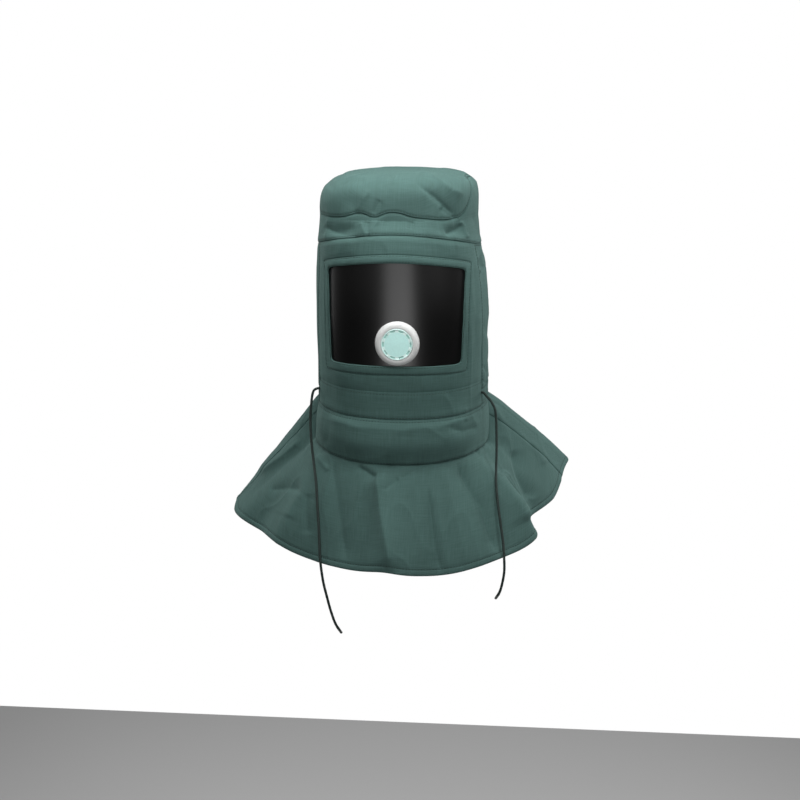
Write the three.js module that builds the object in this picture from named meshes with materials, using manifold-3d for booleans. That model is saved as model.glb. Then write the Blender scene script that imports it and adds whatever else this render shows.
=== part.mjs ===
// Sandblasting hood of canvas: a boxy crown, a face panel with a curved window, a breathing valve in the
// window, a collar that is drawn in at the neck, and a wide cape that lies over the shoulders.
// Millimetres, +Z up. The face looks along -Y and +X is the wearer's left.
// The origin is the inside of the crown, where the head carries the hood.
import * as THREE from "three";
import { mergeVertices } from "three/addons/utils/BufferGeometryUtils.js";
import Module from "manifold-3d";

const wasm = await Module();
wasm.setup();

// Driving sizes
const HEAD_WIDTH = 225; // across the temples, outside
const FACE_REACH = 128; // from the origin forward to the face
const BACK_REACH = 118; // from the origin back to the back panel
const COLLAR_DROP = 363; // from the origin down to the lower seam of the collar, in front
const CROWN_HEIGHT = 54.5; // of the crown's dome above its rim
const CAPE_HALF_SPREAD = 225; // from the middle to the tip of a shoulder
const CAPE_REACH = 205; // from the origin forward to the hem
const CAPE_DROP = 119; // from the lower seam of the collar down to the hem, in front

// Cloth
const WALL = 1.8; // canvas with its seam allowance
const HEM_EXTRA = 0.9; // how much thicker the turned hem is
const HEM_HEIGHT = 8;
const SEAM_GAP = 0.4; // between two pieces that are sewn together

// Window
const WINDOW_WIDTH_TOP = 176; // measured straight across
const WINDOW_WIDTH_BOTTOM = 168;
const WINDOW_SHIFT = -2; // to the wearer's right
const WINDOW_CORNER = 0.07; // share of a side that the rounded corner takes
const FACING_SIDE = 6; // width of the stitched frame beside the window
const PANE_THICK = 2;
const PANE_LAP = 4; // how far the pane reaches under the frame
const PANE_GAP = 0.4; // between the pane and the cloth before it

// Breathing valve
const VALVE_DIAMETER = 56;
const VALVE_HEIGHT = 9.5; // of the white ring before the pane
const VALVE_SHIFT = 2.5; // to the wearer's left
const VALVE_RISE = 29; // of its middle above the foot of the window
const RING_EDGE = 2.5; // height at which the white ring begins to round
const RING_LIP = 1.5; // flat of the ring beside the cap
const RING_BEVEL = 1; // of the ring's foot and of its inner edge
const RING_STEPS = 5;
const CAP_DIAMETER = 39.5;
const CAP_THICK = 3.5;
const CAP_RIM = 1.6; // width of the raised rim round the cap
const CAP_RIM_RISE = 0.5;
const NECK_DIAMETER = 40; // what passes through the pane
const NECK_WALL = 2.5;
const NUT_DIAMETER = 52;
const NUT_THICK = 4;
const NECK_BEYOND = 1; // how far the neck passes the nut
const VALVE_GAP = 0.3; // round the neck and between the stacked pieces
const SLOT_COUNT = 10;
const SLOT_LENGTH = 7;
const SLOT_WIDTH = 2.4;
const SLOT_DEPTH = 1.4;
const SLOT_CIRCLE = 35; // diameter of the circle that they lie on
const FLAT_SINK = 2.4; // how far the flat round the valve lies behind the curved pane
const FLAT_MARGIN = 2; // of flat pane round the valve
const FLAT_BLEND = 14; // over which the pane bends again

// Drawcords
const CORD_DIAMETER = 3.6;
const CORD_SIDES = 8;
const CORD_STEP = 3; // diameters

// Division of the cloth into facets, in degrees round the head and in rows down the cloth
const COLUMN = 6;
const CROWN_ROWS = 5;
const FRAME_ROWS = 3;
const CAPE_ROWS = 7;
const TOP_STEPS = 22; // along the top and the foot of the window
const SIDE_STEPS = 12; // along each side of it
const LATHE_STEPS = 28;
const SEARCH_STEPS = 40; // of a search by halves
const ANGLE_STEP = 0.5; // degrees and levels of the small steps that give a surface its normal
const LEVEL_STEP = 0.02;

// Seams, in degrees from the middle of the face
const SIDE_SEAM = 66;
const COLLAR_END = 90;
const SHOULDER_SEAM = 84;
const FULL_TURN = 360;

// Sections of the hood from the crown down. front, side and back are the depths of the level as shares of
// COLLAR_DROP, before the hood is raised to the seat; width is a share of half of HEAD_WIDTH, face of
// FACE_REACH and rear of BACK_REACH; square is 2 for an ellipse and more for a boxier section; shift is the
// place of its middle along +X, as a share of half of HEAD_WIDTH.
const LEVEL_COLUMNS = ["name", "front", "side", "back", "width", "face", "rear", "square", "shift"];
const LEVELS = [
  ["crownRim", 0.16, 0.16, 0.16, 0.908, 0.75, 0.86, 2.7, -0.043],
  ["bandSeam", 0.204, 0.262, 0.262, 0.94, 0.825, 0.93, 2.5, -0.037],
  ["facingTop", 0.267, 0.33, 0.33, 0.97, 0.9, 0.97, 2.3, -0.02],
  ["windowTop", 0.295, 0.356, 0.356, 0.98, 0.925, 0.98, 2.3, -0.015],
  ["windowMid", 0.47, 0.503, 0.503, 1, 0.992, 1, 2.3, 0],
  ["windowFoot", 0.648, 0.656, 0.656, 1, 1, 0.99, 2.3, 0],
  ["facingFoot", 0.68, 0.687, 0.68, 1, 0.995, 0.97, 2.3, 0],
  ["chinSeam", 0.744, 0.733, 0.715, 1, 0.985, 0.92, 2.3, 0],
  ["casingTop", 0.79, 0.765, 0.775, 1, 0.98, 0.84, 2.3, 0],
  ["doubleSeam", 0.84, 0.825, 0.84, 1.005, 0.98, 0.8, 2.3, 0],
  ["collarMid", 0.925, 0.9, 0.87, 1.03, 1.07, 0.81, 2.3, 0],
  ["capeSeam", 1, 0.97, 0.9, 1.035, 1.02, 0.82, 2.3, 0],
].map((row) => Object.fromEntries(row.map((value, i) => [LEVEL_COLUMNS[i], value])));
// The whole hood is raised by this depth less CROWN_HEIGHT, so that the inside of its crown is at z 0.
const CROWN_RIM_DEPTH = LEVELS[0].side * COLLAR_DROP;
const SECTION_CENTRE = -0.078; // the middle of every section, as a share of FACE_REACH along +Y
const LEVEL_FALL = 1.5; // how quickly a level leaves its front height towards the side
const CROWN_SQUARE = { left: 5, right: 3.6 }; // of the dome on each side of the wearer
const CROWN_SEAM_FRONT = -0.07; // the crown's seam on the dome: 0 is its rim and -1 its top
const CROWN_SEAM_SIDE = -0.5;
const CROWN_SEAM_TURN = { left: [52, 84], right: [66, 90] }; // degrees over which it climbs to the side
const POLE = -0.985; // the dome closes here with one small flat
const COLLAR_TAPER = 15; // degrees over which the collar narrows to its ends
const COLLAR_TIP = 0.12; // levels left at the very end

// Hem of the cape from the middle of the front round by the wearer's left. at is the place on the collar in
// degrees; x is a share of CAPE_HALF_SPREAD, y of CAPE_REACH and drop of CAPE_DROP below the collar's seam.
// belly is how far the cape swells between collar and hem, as a share of CAPE_DROP.
const HEM = [
  { at: 0, x: -0.022, y: -1, drop: 0.99, belly: 0.045 },
  { at: 12, x: 0.155, y: -0.975, drop: 1.025, belly: 0.045 },
  { at: 25, x: 0.385, y: -0.893, drop: 1.02, belly: 0.045 },
  { at: 40, x: 0.64, y: -0.74, drop: 0.92, belly: 0.045 },
  { at: 53, x: 0.8, y: -0.54, drop: 0.845, belly: 0.045 },
  { at: 64, x: 0.745, y: -0.3, drop: 0.79, belly: 0.045 },
  { at: 76, x: 0.91, y: -0.02, drop: 0.665, belly: 0.045 },
  { at: 87, x: 0.975, y: 0.24, drop: 0.455, belly: 0.045 },
  { at: 98, x: 1, y: 0.4, drop: 0.4, belly: 0.045 },
  { at: 118, x: 0.85, y: 0.6, drop: 0.64, belly: 0.045 },
  { at: 140, x: 0.56, y: 0.8, drop: 0.83, belly: 0.045 },
  { at: 165, x: 0.2, y: 0.93, drop: 0.93, belly: 0.045 },
  { at: 195, x: -0.2, y: 0.93, drop: 0.93, belly: 0.045 },
  { at: 220, x: -0.56, y: 0.8, drop: 0.9, belly: 0.045 },
  { at: 243, x: -0.87, y: 0.52, drop: 0.8, belly: 0.02 },
  { at: 266, x: -1.01, y: 0.16, drop: 0.73, belly: 0 },
  { at: 284, x: -1.025, y: -0.17, drop: 0.825, belly: 0 },
  { at: 307, x: -0.8, y: -0.45, drop: 0.915, belly: 0.02 },
  { at: 327, x: -0.575, y: -0.69, drop: 1, belly: 0.045 },
  { at: 343, x: -0.3, y: -0.89, drop: 1.015, belly: 0.045 },
];

// Folds that run down the cape: at and spread in degrees on the collar, rise outward as a share of CAPE_DROP
// and from as the share of the way down where each begins.
const FOLDS = [
  { at: 358, spread: 5, rise: 0.035, from: 0.05 },
  { at: 349, spread: 6, rise: -0.03, from: 0.1 },
  { at: 334, spread: 6, rise: -0.04, from: 0.1 },
  { at: 316, spread: 7, rise: 0.04, from: 0.15 },
  { at: 300, spread: 6, rise: -0.04, from: 0.1 },
  { at: 18, spread: 5, rise: -0.025, from: 0.2 },
  { at: 44, spread: 7, rise: -0.06, from: 0 },
  { at: 57, spread: 5, rise: 0.05, from: 0 },
  { at: 150, spread: 9, rise: -0.04, from: 0.1 },
  { at: 180, spread: 8, rise: 0.04, from: 0.1 },
  { at: 210, spread: 9, rise: -0.04, from: 0.1 },
];

// Dents of the crown and face: at in degrees, level as LEVELS counts (the crown is negative), size of the
// dent in degrees and levels, lean in levels per degree, and sink inward as a share of CROWN_HEIGHT.
const DENTS = [
  { at: 33, level: -0.3, wide: 9, high: 0.17, lean: -0.004, sink: 0.1 },
  { at: -33, level: -0.22, wide: 8, high: 0.14, lean: 0.004, sink: 0.05 },
  { at: -38, level: 0.55, wide: 10, high: 0.35, lean: 0, sink: 0.07 },
  { at: 45, level: 0.55, wide: 12, high: 0.35, lean: 0, sink: 0.05 },
  { at: 74, level: 2.2, wide: 6, high: 0.6, lean: 0, sink: 0.06 },
];

// The drawcords hang free from the ends of the neck casing, chosen by hand as points from there down.
const CORDS = {
  drawcord_left: [
    [106.17, -58.07, -283],
    [109, -59.2, -283.3],
    [113.5, -64, -287],
    [118, -68, -291],
    [124, -72, -301],
    [126, -74, -315],
    [127, -79, -334],
    [127.5, -86, -354],
    [127.5, -94, -375],
    [128, -107, -391],
    [131, -122, -414],
    [135, -134, -436],
    [138.5, -144, -456],
    [140.5, -153, -474],
    [141, -155, -492],
    [139, -155, -507],
    [135.5, -154, -521],
    [130, -153, -531],
  ],
  drawcord_right: [
    [-106.1, -58.04, -282],
    [-109, -59.2, -282],
    [-113, -64, -284],
    [-115.5, -72, -301],
    [-116, -77, -325],
    [-113.5, -85, -352],
    [-110, -95, -370],
    [-104, -116, -390],
    [-99.5, -136, -419],
    [-96, -150, -445],
    [-93, -164, -476],
    [-91.5, -167, -489],
    [-88.5, -168, -510],
    [-84, -168, -530],
    [-79.5, -167, -549],
    [-73.5, -165, -568],
    [-66, -163, -581],
  ],
};

// Colours from the photograph
const CANVAS = { color: 0x4f6f69, roughness: 0.9, metalness: 0 };
const CANVAS_DARK = { color: 0x456660, roughness: 0.9, metalness: 0 };
const SMOKED = { color: 0x141616, roughness: 0.15, metalness: 0 };
const WHITE = { color: 0xdedede, roughness: 0.5, metalness: 0 };
const MINT = { color: 0xacd6ce, roughness: 0.5, metalness: 0 };
const CORD_GREEN = { color: 0x283230, roughness: 0.8, metalness: 0 };

const levelOf = (name) => LEVELS.findIndex((row) => row.name === name);
const radians = THREE.MathUtils.degToRad;
const hood = new THREE.Group();

function add(name, look, geometry) {
  geometry.translate(0, 0, CROWN_RIM_DEPTH - CROWN_HEIGHT);
  const mesh = new THREE.Mesh(geometry, new THREE.MeshStandardMaterial(look));
  mesh.name = name;
  hood.add(mesh);
  return mesh;
}

// Smooth curve through values p1 and p2 with their neighbours p0 and p3, at t from 0 to 1. The places
// x0 to x3 need not be even.
function hermite(x0, x1, x2, x3, p0, p1, p2, p3, t) {
  const span = x2 - x1;
  const slope1 = x1 > x0 ? ((p2 - p0) / (x2 - x0)) * span : p2 - p1;
  const slope2 = x3 > x2 ? ((p3 - p1) / (x3 - x1)) * span : p2 - p1;
  const t2 = t * t;
  const t3 = t2 * t;
  return (
    (2 * t3 - 3 * t2 + 1) * p1 + (t3 - 2 * t2 + t) * slope1 + (3 * t2 - 2 * t3) * p2 + (t3 - t2) * slope2
  );
}

function levelValue(column, level) {
  const last = LEVELS.length - 1;
  const i = Math.min(Math.max(Math.floor(level), 0), last - 1);
  const rows = [Math.max(i - 1, 0), i, i + 1, Math.min(i + 2, last)].map((k) => LEVELS[k]);
  return hermite(...rows.map((row) => row.front), ...rows.map((row) => row[column]), level - i);
}

function hemValue(column, degrees) {
  const at = ((degrees % FULL_TURN) + FULL_TURN) % FULL_TURN;
  const count = HEM.length;
  let i = count - 1;
  while (HEM[i].at > at) i -= 1;
  const row = (k) => HEM[(k + count) % count];
  const place = (k) => row(k).at + (k < 0 ? -FULL_TURN : k >= count ? FULL_TURN : 0);
  const t = (at - place(i)) / (place(i + 1) - place(i));
  return hermite(
    place(i - 1), place(i), place(i + 1), place(i + 2),
    row(i - 1)[column], row(i)[column], row(i + 1)[column], row(i + 2)[column],
    t,
  );
}

const smooth = (t) => THREE.MathUtils.smoothstep(t, 0, 1);
// Degrees from a to b the short way round.
const apart = (a, b) => THREE.MathUtils.euclideanModulo(a - b + FULL_TURN / 2, FULL_TURN) - FULL_TURN / 2;
const bell = (distance, width) => Math.exp(-((distance / width) ** 2));

function dent(degrees, level) {
  let sink = 0;
  for (const d of DENTS) {
    const across = apart(degrees, d.at);
    const along = level - d.level - d.lean * across;
    sink += d.sink * CROWN_HEIGHT * bell(across, d.wide) * bell(along, d.high);
  }
  return sink;
}

// The outside of the hood above the cape. level counts LEVELS down from 0, and the dome above it is
// negative up to -1 at the top.
function hoodPoint(degrees, level) {
  const angle = radians(degrees);
  const s = Math.sin(angle);
  const c = Math.cos(angle);
  const body = Math.max(level, 0);
  const square = levelValue("square", body);
  const centre = SECTION_CENTRE * FACE_REACH;
  const width = (levelValue("width", body) * HEAD_WIDTH) / 2;
  const face = levelValue("face", body) * FACE_REACH + centre;
  const rear = levelValue("rear", body) * BACK_REACH - centre;
  const reach = c > 0 ? face : rear;
  const radius =
    1 / ((Math.abs(s) / width) ** square + (Math.abs(c) / reach) ** square) ** (1 / square);
  const side = levelValue("side", body);
  const end = levelValue(c > 0 ? "front" : "back", body);
  const depth = (side + (end - side) * Math.abs(c) ** LEVEL_FALL) * COLLAR_DROP;
  let inward = 1;
  let z = -depth;
  if (level < 0) {
    const climb = radians(90 * (level + 1));
    const corner = THREE.MathUtils.lerp(CROWN_SQUARE.right, CROWN_SQUARE.left, (s + 1) / 2);
    const norm = (Math.sin(climb) ** corner + Math.cos(climb) ** corner) ** (1 / corner);
    inward = Math.sin(climb) / norm;
    z += ((CROWN_HEIGHT + WALL) * Math.cos(climb)) / norm;
  }
  const out = (radius - dent(degrees, level)) * inward;
  const shift = (levelValue("shift", body) * HEAD_WIDTH) / 2;
  return new THREE.Vector3(s * out + shift, centre * inward - c * out, z);
}

function crownSeam(degrees) {
  const off = Math.abs(apart(degrees, 0));
  const fromEnd = off > 90 ? 180 - off : off;
  const [start, end] = apart(degrees, 0) > 0 ? CROWN_SEAM_TURN.left : CROWN_SEAM_TURN.right;
  const t = smooth((fromEnd - start) / (end - start));
  return THREE.MathUtils.lerp(CROWN_SEAM_FRONT, CROWN_SEAM_SIDE, t);
}

// The collar narrows from its full height at the front to nothing behind COLLAR_END, so the level of its
// lower seam climbs there to the double seam.
function capeSeam(degrees) {
  const off = Math.abs(apart(degrees, 0));
  const t = smooth((off - COLLAR_END + COLLAR_TAPER) / COLLAR_TAPER);
  const tip = off > COLLAR_END ? 0 : COLLAR_TIP;
  return THREE.MathUtils.lerp(levelOf("capeSeam"), levelOf("doubleSeam") + tip, t);
}

// The outside of the cape, with share 0 at the collar and 1 at the hem.
function capePoint(degrees, share) {
  const top = hoodPoint(degrees, capeSeam(degrees));
  const hem = new THREE.Vector3(
    hemValue("x", degrees) * CAPE_HALF_SPREAD,
    hemValue("y", degrees) * CAPE_REACH,
    -COLLAR_DROP - hemValue("drop", degrees) * CAPE_DROP,
  );
  const down = hem.clone().sub(top).normalize();
  const angle = radians(degrees);
  const side = new THREE.Vector3(Math.cos(angle), Math.sin(angle), 0);
  const out = side.cross(down).normalize().negate();
  if (out.z < 0) out.negate();
  let rise = hemValue("belly", degrees) * 4 * share * (1 - share);
  for (const fold of FOLDS) {
    const grown = smooth((share - fold.from) / (1 - fold.from));
    rise += fold.rise * bell(apart(degrees, fold.at), fold.spread) * grown;
  }
  return top.lerp(hem, share).addScaledVector(out, rise * CAPE_DROP);
}

// Outward normal of a surface given as a function of two values, by small steps.
function normalOf(surface, u, v, du, dv) {
  const across = surface(u + du, v).sub(surface(u - du, v));
  const along = surface(u, v + dv).sub(surface(u, v - dv));
  return along.cross(across).normalize();
}

// A closed shell from two grids of points, the outside and the inside. Rows run down and columns run round;
// a ring has its last column joined to its first.
function shellGeometry(outside, inside, ring) {
  const rows = outside.length;
  const columns = outside[0].length;
  const positions = [];
  for (const grid of [outside, inside])
    for (const row of grid) for (const p of row) positions.push(p.x, p.y, p.z);
  const index = [];
  const at = (side, r, c) => side * rows * columns + r * columns + (c % columns);
  const quad = (a, b, c, d) => index.push(a, b, c, a, c, d);
  const spans = ring ? columns : columns - 1;
  for (let r = 0; r < rows - 1; r += 1)
    for (let c = 0; c < spans; c += 1) {
      quad(at(0, r, c), at(0, r + 1, c), at(0, r + 1, c + 1), at(0, r, c + 1));
      quad(at(1, r, c), at(1, r, c + 1), at(1, r + 1, c + 1), at(1, r + 1, c));
    }
  for (let c = 0; c < spans; c += 1) {
    quad(at(0, 0, c), at(0, 0, c + 1), at(1, 0, c + 1), at(1, 0, c));
    quad(at(0, rows - 1, c), at(1, rows - 1, c), at(1, rows - 1, c + 1), at(0, rows - 1, c + 1));
  }
  if (!ring)
    for (let r = 0; r < rows - 1; r += 1) {
      quad(at(0, r, 0), at(1, r, 0), at(1, r + 1, 0), at(0, r + 1, 0));
      const e = columns - 1;
      quad(at(0, r, e), at(0, r + 1, e), at(1, r + 1, e), at(1, r, e));
    }
  const geometry = new THREE.BufferGeometry();
  geometry.setAttribute("position", new THREE.Float32BufferAttribute(positions, 3));
  geometry.setIndex(index);
  return geometry;
}

// The step from border point p that keeps half of the seam gap to both edges of the border that meet there,
// those to its neighbours a and b. q is the next point inside the piece.
function inset(p, q, a, b) {
  const square = (neighbour) => {
    const along = neighbour.clone().sub(p);
    const step = q.clone().sub(p);
    if (along.lengthSq() > 0) step.addScaledVector(along, -step.dot(along) / along.lengthSq());
    return step.normalize();
  };
  const first = square(a);
  const second = square(b);
  if (a === p) return second.multiplyScalar(SEAM_GAP / 2);
  if (b === p) return first.multiplyScalar(SEAM_GAP / 2);
  const turn = Math.max(1 + first.dot(second), 0.5);
  return first.add(second).multiplyScalar(SEAM_GAP / 2 / turn);
}

// Pulls the border of a grid back by half of the seam gap, along the cloth.
function trimmed(grid, ring, trimTop = true, trimFoot = true) {
  const last = grid.length - 1;
  const end = grid[0].length - 1;
  const near = (c, step) => {
    if (ring) return (c + step + end + 1) % (end + 1);
    return Math.min(Math.max(c + step, 0), end);
  };
  return grid.map((row, r) =>
    row.map((p, c) => {
      const moved = p.clone();
      const before = row[near(c, -1)];
      const after = row[near(c, 1)];
      if (r === 0 && trimTop) moved.add(inset(p, grid[1][c], before, after));
      if (r === last && trimFoot) moved.add(inset(p, grid[last - 1][c], before, after));
      const above = grid[Math.max(r - 1, 0)][c];
      const below = grid[Math.min(r + 1, last)][c];
      if (!ring && c === 0) moved.add(inset(p, row[1], above, below));
      if (!ring && c === end) moved.add(inset(p, row[end - 1], above, below));
      return moved;
    }),
  );
}

// A piece of cloth as thick as wall(row share), from a surface and the places of its rows and columns.
// place(column, row) gives the surface's two values for shares from 0 to 1.
function cloth(surface, place, columns, rows, options = {}) {
  const { ring = false, wall = () => WALL, sink = 0 } = options;
  const { step = [ANGLE_STEP, LEVEL_STEP], trimTop = true, trimFoot = true } = options;
  const grid = [];
  const normals = [];
  const count = ring ? columns : columns + 1;
  for (let r = 0; r <= rows; r += 1) {
    grid.push([]);
    normals.push([]);
    for (let c = 0; c < count; c += 1) {
      const [u, v] = place(c / columns, r / rows);
      grid[r].push(surface(u, v));
      normals[r].push(normalOf(surface, u, v, step[0], step[1]));
    }
  }
  const offset = (points, depth) =>
    points.map((row, r) =>
      row.map((p, c) => p.clone().addScaledVector(normals[r][c], -depth(r / rows))),
    );
  const outside = trimmed(grid, ring, trimTop, trimFoot);
  return shellGeometry(offset(outside, () => sink), offset(outside, (share) => sink + wall(share)), ring);
}

const lerp = THREE.MathUtils.lerp;

// A piece between two levels, from one angle to another.
function panel(name, look, from, to, topLevel, footLevel, rows) {
  const columns = Math.round((to - from) / COLUMN);
  const place = (c, r) => {
    const degrees = lerp(from, to, c);
    return [degrees, lerp(topLevel(degrees), footLevel(degrees), r)];
  };
  const ring = to - from >= FULL_TURN;
  add(name, look, cloth(hoodPoint, place, columns, rows, { ring }));
}

const level = (name) => () => levelOf(name);

// Crown
function crownTop() {
  const columns = FULL_TURN / COLUMN;
  const place = (c, r) => {
    const degrees = c * FULL_TURN;
    return [degrees, lerp(POLE, crownSeam(degrees), r)];
  };
  const options = { ring: true, trimTop: false, step: [ANGLE_STEP, LEVEL_STEP / 2] };
  const ring = cloth(hoodPoint, place, columns, CROWN_ROWS, options);
  return closedPole(ring, columns, CROWN_ROWS + 1);
}

// Turns the shell's small top ring into a closed lid: the wall round the hole goes and two fans take its
// place.
function closedPole(geometry, columns, rows) {
  const index = [...geometry.index.array];
  const inner = rows * columns;
  const kept = [];
  for (let t = 0; t < index.length; t += 3) {
    const tri = index.slice(t, t + 3);
    const onTop = tri.every((i) => i < columns || (i >= inner && i < inner + columns));
    if (!onTop) kept.push(...tri);
  }
  const position = [...geometry.attributes.position.array];
  const middle = (start) => {
    const sum = [0, 0, 0];
    for (let c = 0; c < columns; c += 1)
      for (let k = 0; k < 3; k += 1) sum[k] += position[(start + c) * 3 + k] / columns;
    position.push(...sum);
    return position.length / 3 - 1;
  };
  const outer = middle(0);
  const under = middle(inner);
  for (let c = 0; c < columns; c += 1) {
    const next = (c + 1) % columns;
    kept.push(outer, c, next);
    kept.push(under, inner + next, inner + c);
  }
  const closed = new THREE.BufferGeometry();
  closed.setAttribute("position", new THREE.Float32BufferAttribute(position, 3));
  closed.setIndex(kept);
  return closed;
}

// Window and its stitched frame, as loops of angle and level. Each loop runs along the top, down the
// wearer's left side, back along the foot and up, with the same number of points on each side.
const LOOP_STEPS = 2 * (TOP_STEPS + SIDE_STEPS);

// The angle where the hood's surface at that level is x away from the middle.
function angleAt(x, atLevel) {
  let low = -SIDE_SEAM;
  let high = SIDE_SEAM;
  for (let k = 0; k < SEARCH_STEPS; k += 1) {
    const mid = (low + high) / 2;
    if (hoodPoint(mid, atLevel).x < x) low = mid;
    else high = mid;
  }
  return (low + high) / 2;
}

// A place on a four-sided loop: its side's number from the top round, and the share along that side.
function loopPlace(k) {
  const i = ((k % LOOP_STEPS) + LOOP_STEPS) % LOOP_STEPS;
  if (i < TOP_STEPS) return [0, i / TOP_STEPS];
  if (i < TOP_STEPS + SIDE_STEPS) return [1, (i - TOP_STEPS) / SIDE_STEPS];
  if (i < 2 * TOP_STEPS + SIDE_STEPS) return [2, (i - TOP_STEPS - SIDE_STEPS) / TOP_STEPS];
  return [3, (i - 2 * TOP_STEPS - SIDE_STEPS) / SIDE_STEPS];
}

// A loop of angle and level inside given widths and levels, with corners rounded by a share of each side.
function frameLoop(topWidth, footWidth, topLevel, footLevel, corner) {
  const half = (share) => lerp(topWidth, footWidth, share) / 2;
  const round = corner > 0 ? 2 / corner : Infinity;
  return (k) => {
    const [side, share] = loopPlace(k);
    let u = [share, 1, 1 - share, 0][side] * 2 - 1;
    let v = [0, share, 1, 1 - share][side] * 2 - 1;
    if (Number.isFinite(round)) {
      const fit = (Math.abs(u) ** round + Math.abs(v) ** round) ** (-1 / round);
      u *= fit;
      v *= fit;
    }
    const down = (v + 1) / 2;
    const atLevel = lerp(topLevel, footLevel, down);
    return [angleAt(WINDOW_SHIFT + u * half(down), atLevel), atLevel];
  };
}

function windowLoop(margin, sideLevels) {
  return frameLoop(
    WINDOW_WIDTH_TOP + 2 * margin,
    WINDOW_WIDTH_BOTTOM + 2 * margin,
    sideLevels[0],
    sideLevels[1],
    WINDOW_CORNER,
  );
}

// Cloth between two loops. The outer one is the first row.
function loopCloth(outer, inner, rows) {
  const place = (c, r) => {
    const k = Math.round(c * LOOP_STEPS);
    const a = outer(k);
    const b = inner(k);
    return [lerp(a[0], b[0], r), lerp(a[1], b[1], r)];
  };
  return cloth(hoodPoint, place, LOOP_STEPS, rows, { ring: true });
}

const openingLoop = windowLoop(0, [levelOf("windowTop"), levelOf("windowFoot")]);
const facingLoop = windowLoop(FACING_SIDE, [levelOf("facingTop"), levelOf("facingFoot")]);

function facePanelLoop(k) {
  const [side, share] = loopPlace(k);
  const degrees = lerp(-SIDE_SEAM, SIDE_SEAM, [share, 1, 1 - share, 0][side]);
  return [degrees, lerp(levelOf("bandSeam"), levelOf("chinSeam"), [0, share, 1, 1 - share][side])];
}

// The pane lies behind the cloth and is flat round the valve.
const valveOut = new THREE.Vector3();
const valveSeat = new THREE.Vector3();
function setValve() {
  const foot = levelOf("windowFoot");
  const height = hoodPoint(0, foot).z + VALVE_RISE;
  let low = levelOf("windowTop");
  let high = foot;
  for (let k = 0; k < SEARCH_STEPS; k += 1) {
    const mid = (low + high) / 2;
    if (hoodPoint(angleAt(VALVE_SHIFT, mid), mid).z > height) low = mid;
    else high = mid;
  }
  const at = angleAt(VALVE_SHIFT, low);
  valveOut.copy(normalOf(hoodPoint, at, low, ANGLE_STEP, LEVEL_STEP));
  valveOut.x = 0;
  valveOut.normalize();
  valveSeat.copy(hoodPoint(at, low)).addScaledVector(valveOut, -WALL - PANE_GAP - FLAT_SINK);
}
setValve();

function panePoint(degrees, atLevel) {
  const n = normalOf(hoodPoint, degrees, atLevel, ANGLE_STEP, LEVEL_STEP);
  const p = hoodPoint(degrees, atLevel).addScaledVector(n, -WALL - PANE_GAP);
  const from = p.clone().sub(valveSeat);
  const height = from.dot(valveOut);
  const distance = Math.sqrt(Math.max(from.lengthSq() - height * height, 0));
  const flat = 1 - smooth((distance - VALVE_DIAMETER / 2 - FLAT_MARGIN) / FLAT_BLEND);
  return p.addScaledVector(valveOut, -height * flat);
}

function solidOf(geometry) {
  const bare = geometry.index ? geometry.toNonIndexed() : geometry.clone();
  bare.deleteAttribute("normal");
  bare.deleteAttribute("uv");
  const merged = mergeVertices(bare, 1e-4);
  const triVerts = new Uint32Array(merged.index.array);
  const vertProperties = merged.attributes.position.array;
  return new wasm.Manifold(new wasm.Mesh({ numProp: 3, vertProperties, triVerts }));
}

function geometryOf(solid) {
  const mesh = solid.getMesh();
  const geometry = new THREE.BufferGeometry();
  geometry.setAttribute("position", new THREE.Float32BufferAttribute(mesh.vertProperties, 3));
  geometry.setIndex([...mesh.triVerts]);
  return geometry;
}

// Turns a shape made round +Y into the valve's place, with +Y pointing out of the window.
function atValve(geometry) {
  const turn = new THREE.Quaternion().setFromUnitVectors(new THREE.Vector3(0, 1, 0), valveOut);
  return geometry.applyQuaternion(turn).translate(valveSeat.x, valveSeat.y, valveSeat.z);
}

function pane() {
  const wide = windowLoop(PANE_LAP, [levelOf("windowTop") - 0.6, levelOf("windowFoot") + 0.6]);
  const columns = TOP_STEPS;
  const rows = SIDE_STEPS;
  const place = (c, r) => {
    const foot = wide(TOP_STEPS + SIDE_STEPS + Math.round((1 - c) * TOP_STEPS));
    const top = wide(Math.round(c * TOP_STEPS));
    const left = wide(LOOP_STEPS - Math.round(r * SIDE_STEPS));
    const right = wide(TOP_STEPS + Math.round(r * SIDE_STEPS));
    const topAt = c === 1 ? wide(TOP_STEPS) : top;
    const turns = [0, TOP_STEPS, 2 * TOP_STEPS + SIDE_STEPS, TOP_STEPS + SIDE_STEPS];
    const corners = turns.map(wide);
    return [0, 1].map(
      (i) =>
        lerp(topAt[i], foot[i], r) +
        lerp(left[i], right[i], c) -
        lerp(lerp(corners[0][i], corners[1][i], c), lerp(corners[2][i], corners[3][i], c), r),
    );
  };
  const sheet = cloth(panePoint, place, columns, rows, {
    wall: () => PANE_THICK,
    trimTop: false,
    trimFoot: false,
  });
  const boreRadius = NECK_DIAMETER / 2 + VALVE_GAP;
  const bore = atValve(new THREE.CylinderGeometry(boreRadius, boreRadius, VALVE_DIAMETER, LATHE_STEPS));
  return geometryOf(solidOf(sheet).subtract(solidOf(bore)));
}

const lathe = (points, segments = LATHE_STEPS) =>
  new THREE.LatheGeometry(points.map(([x, y]) => new THREE.Vector2(x, y)), segments);

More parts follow.
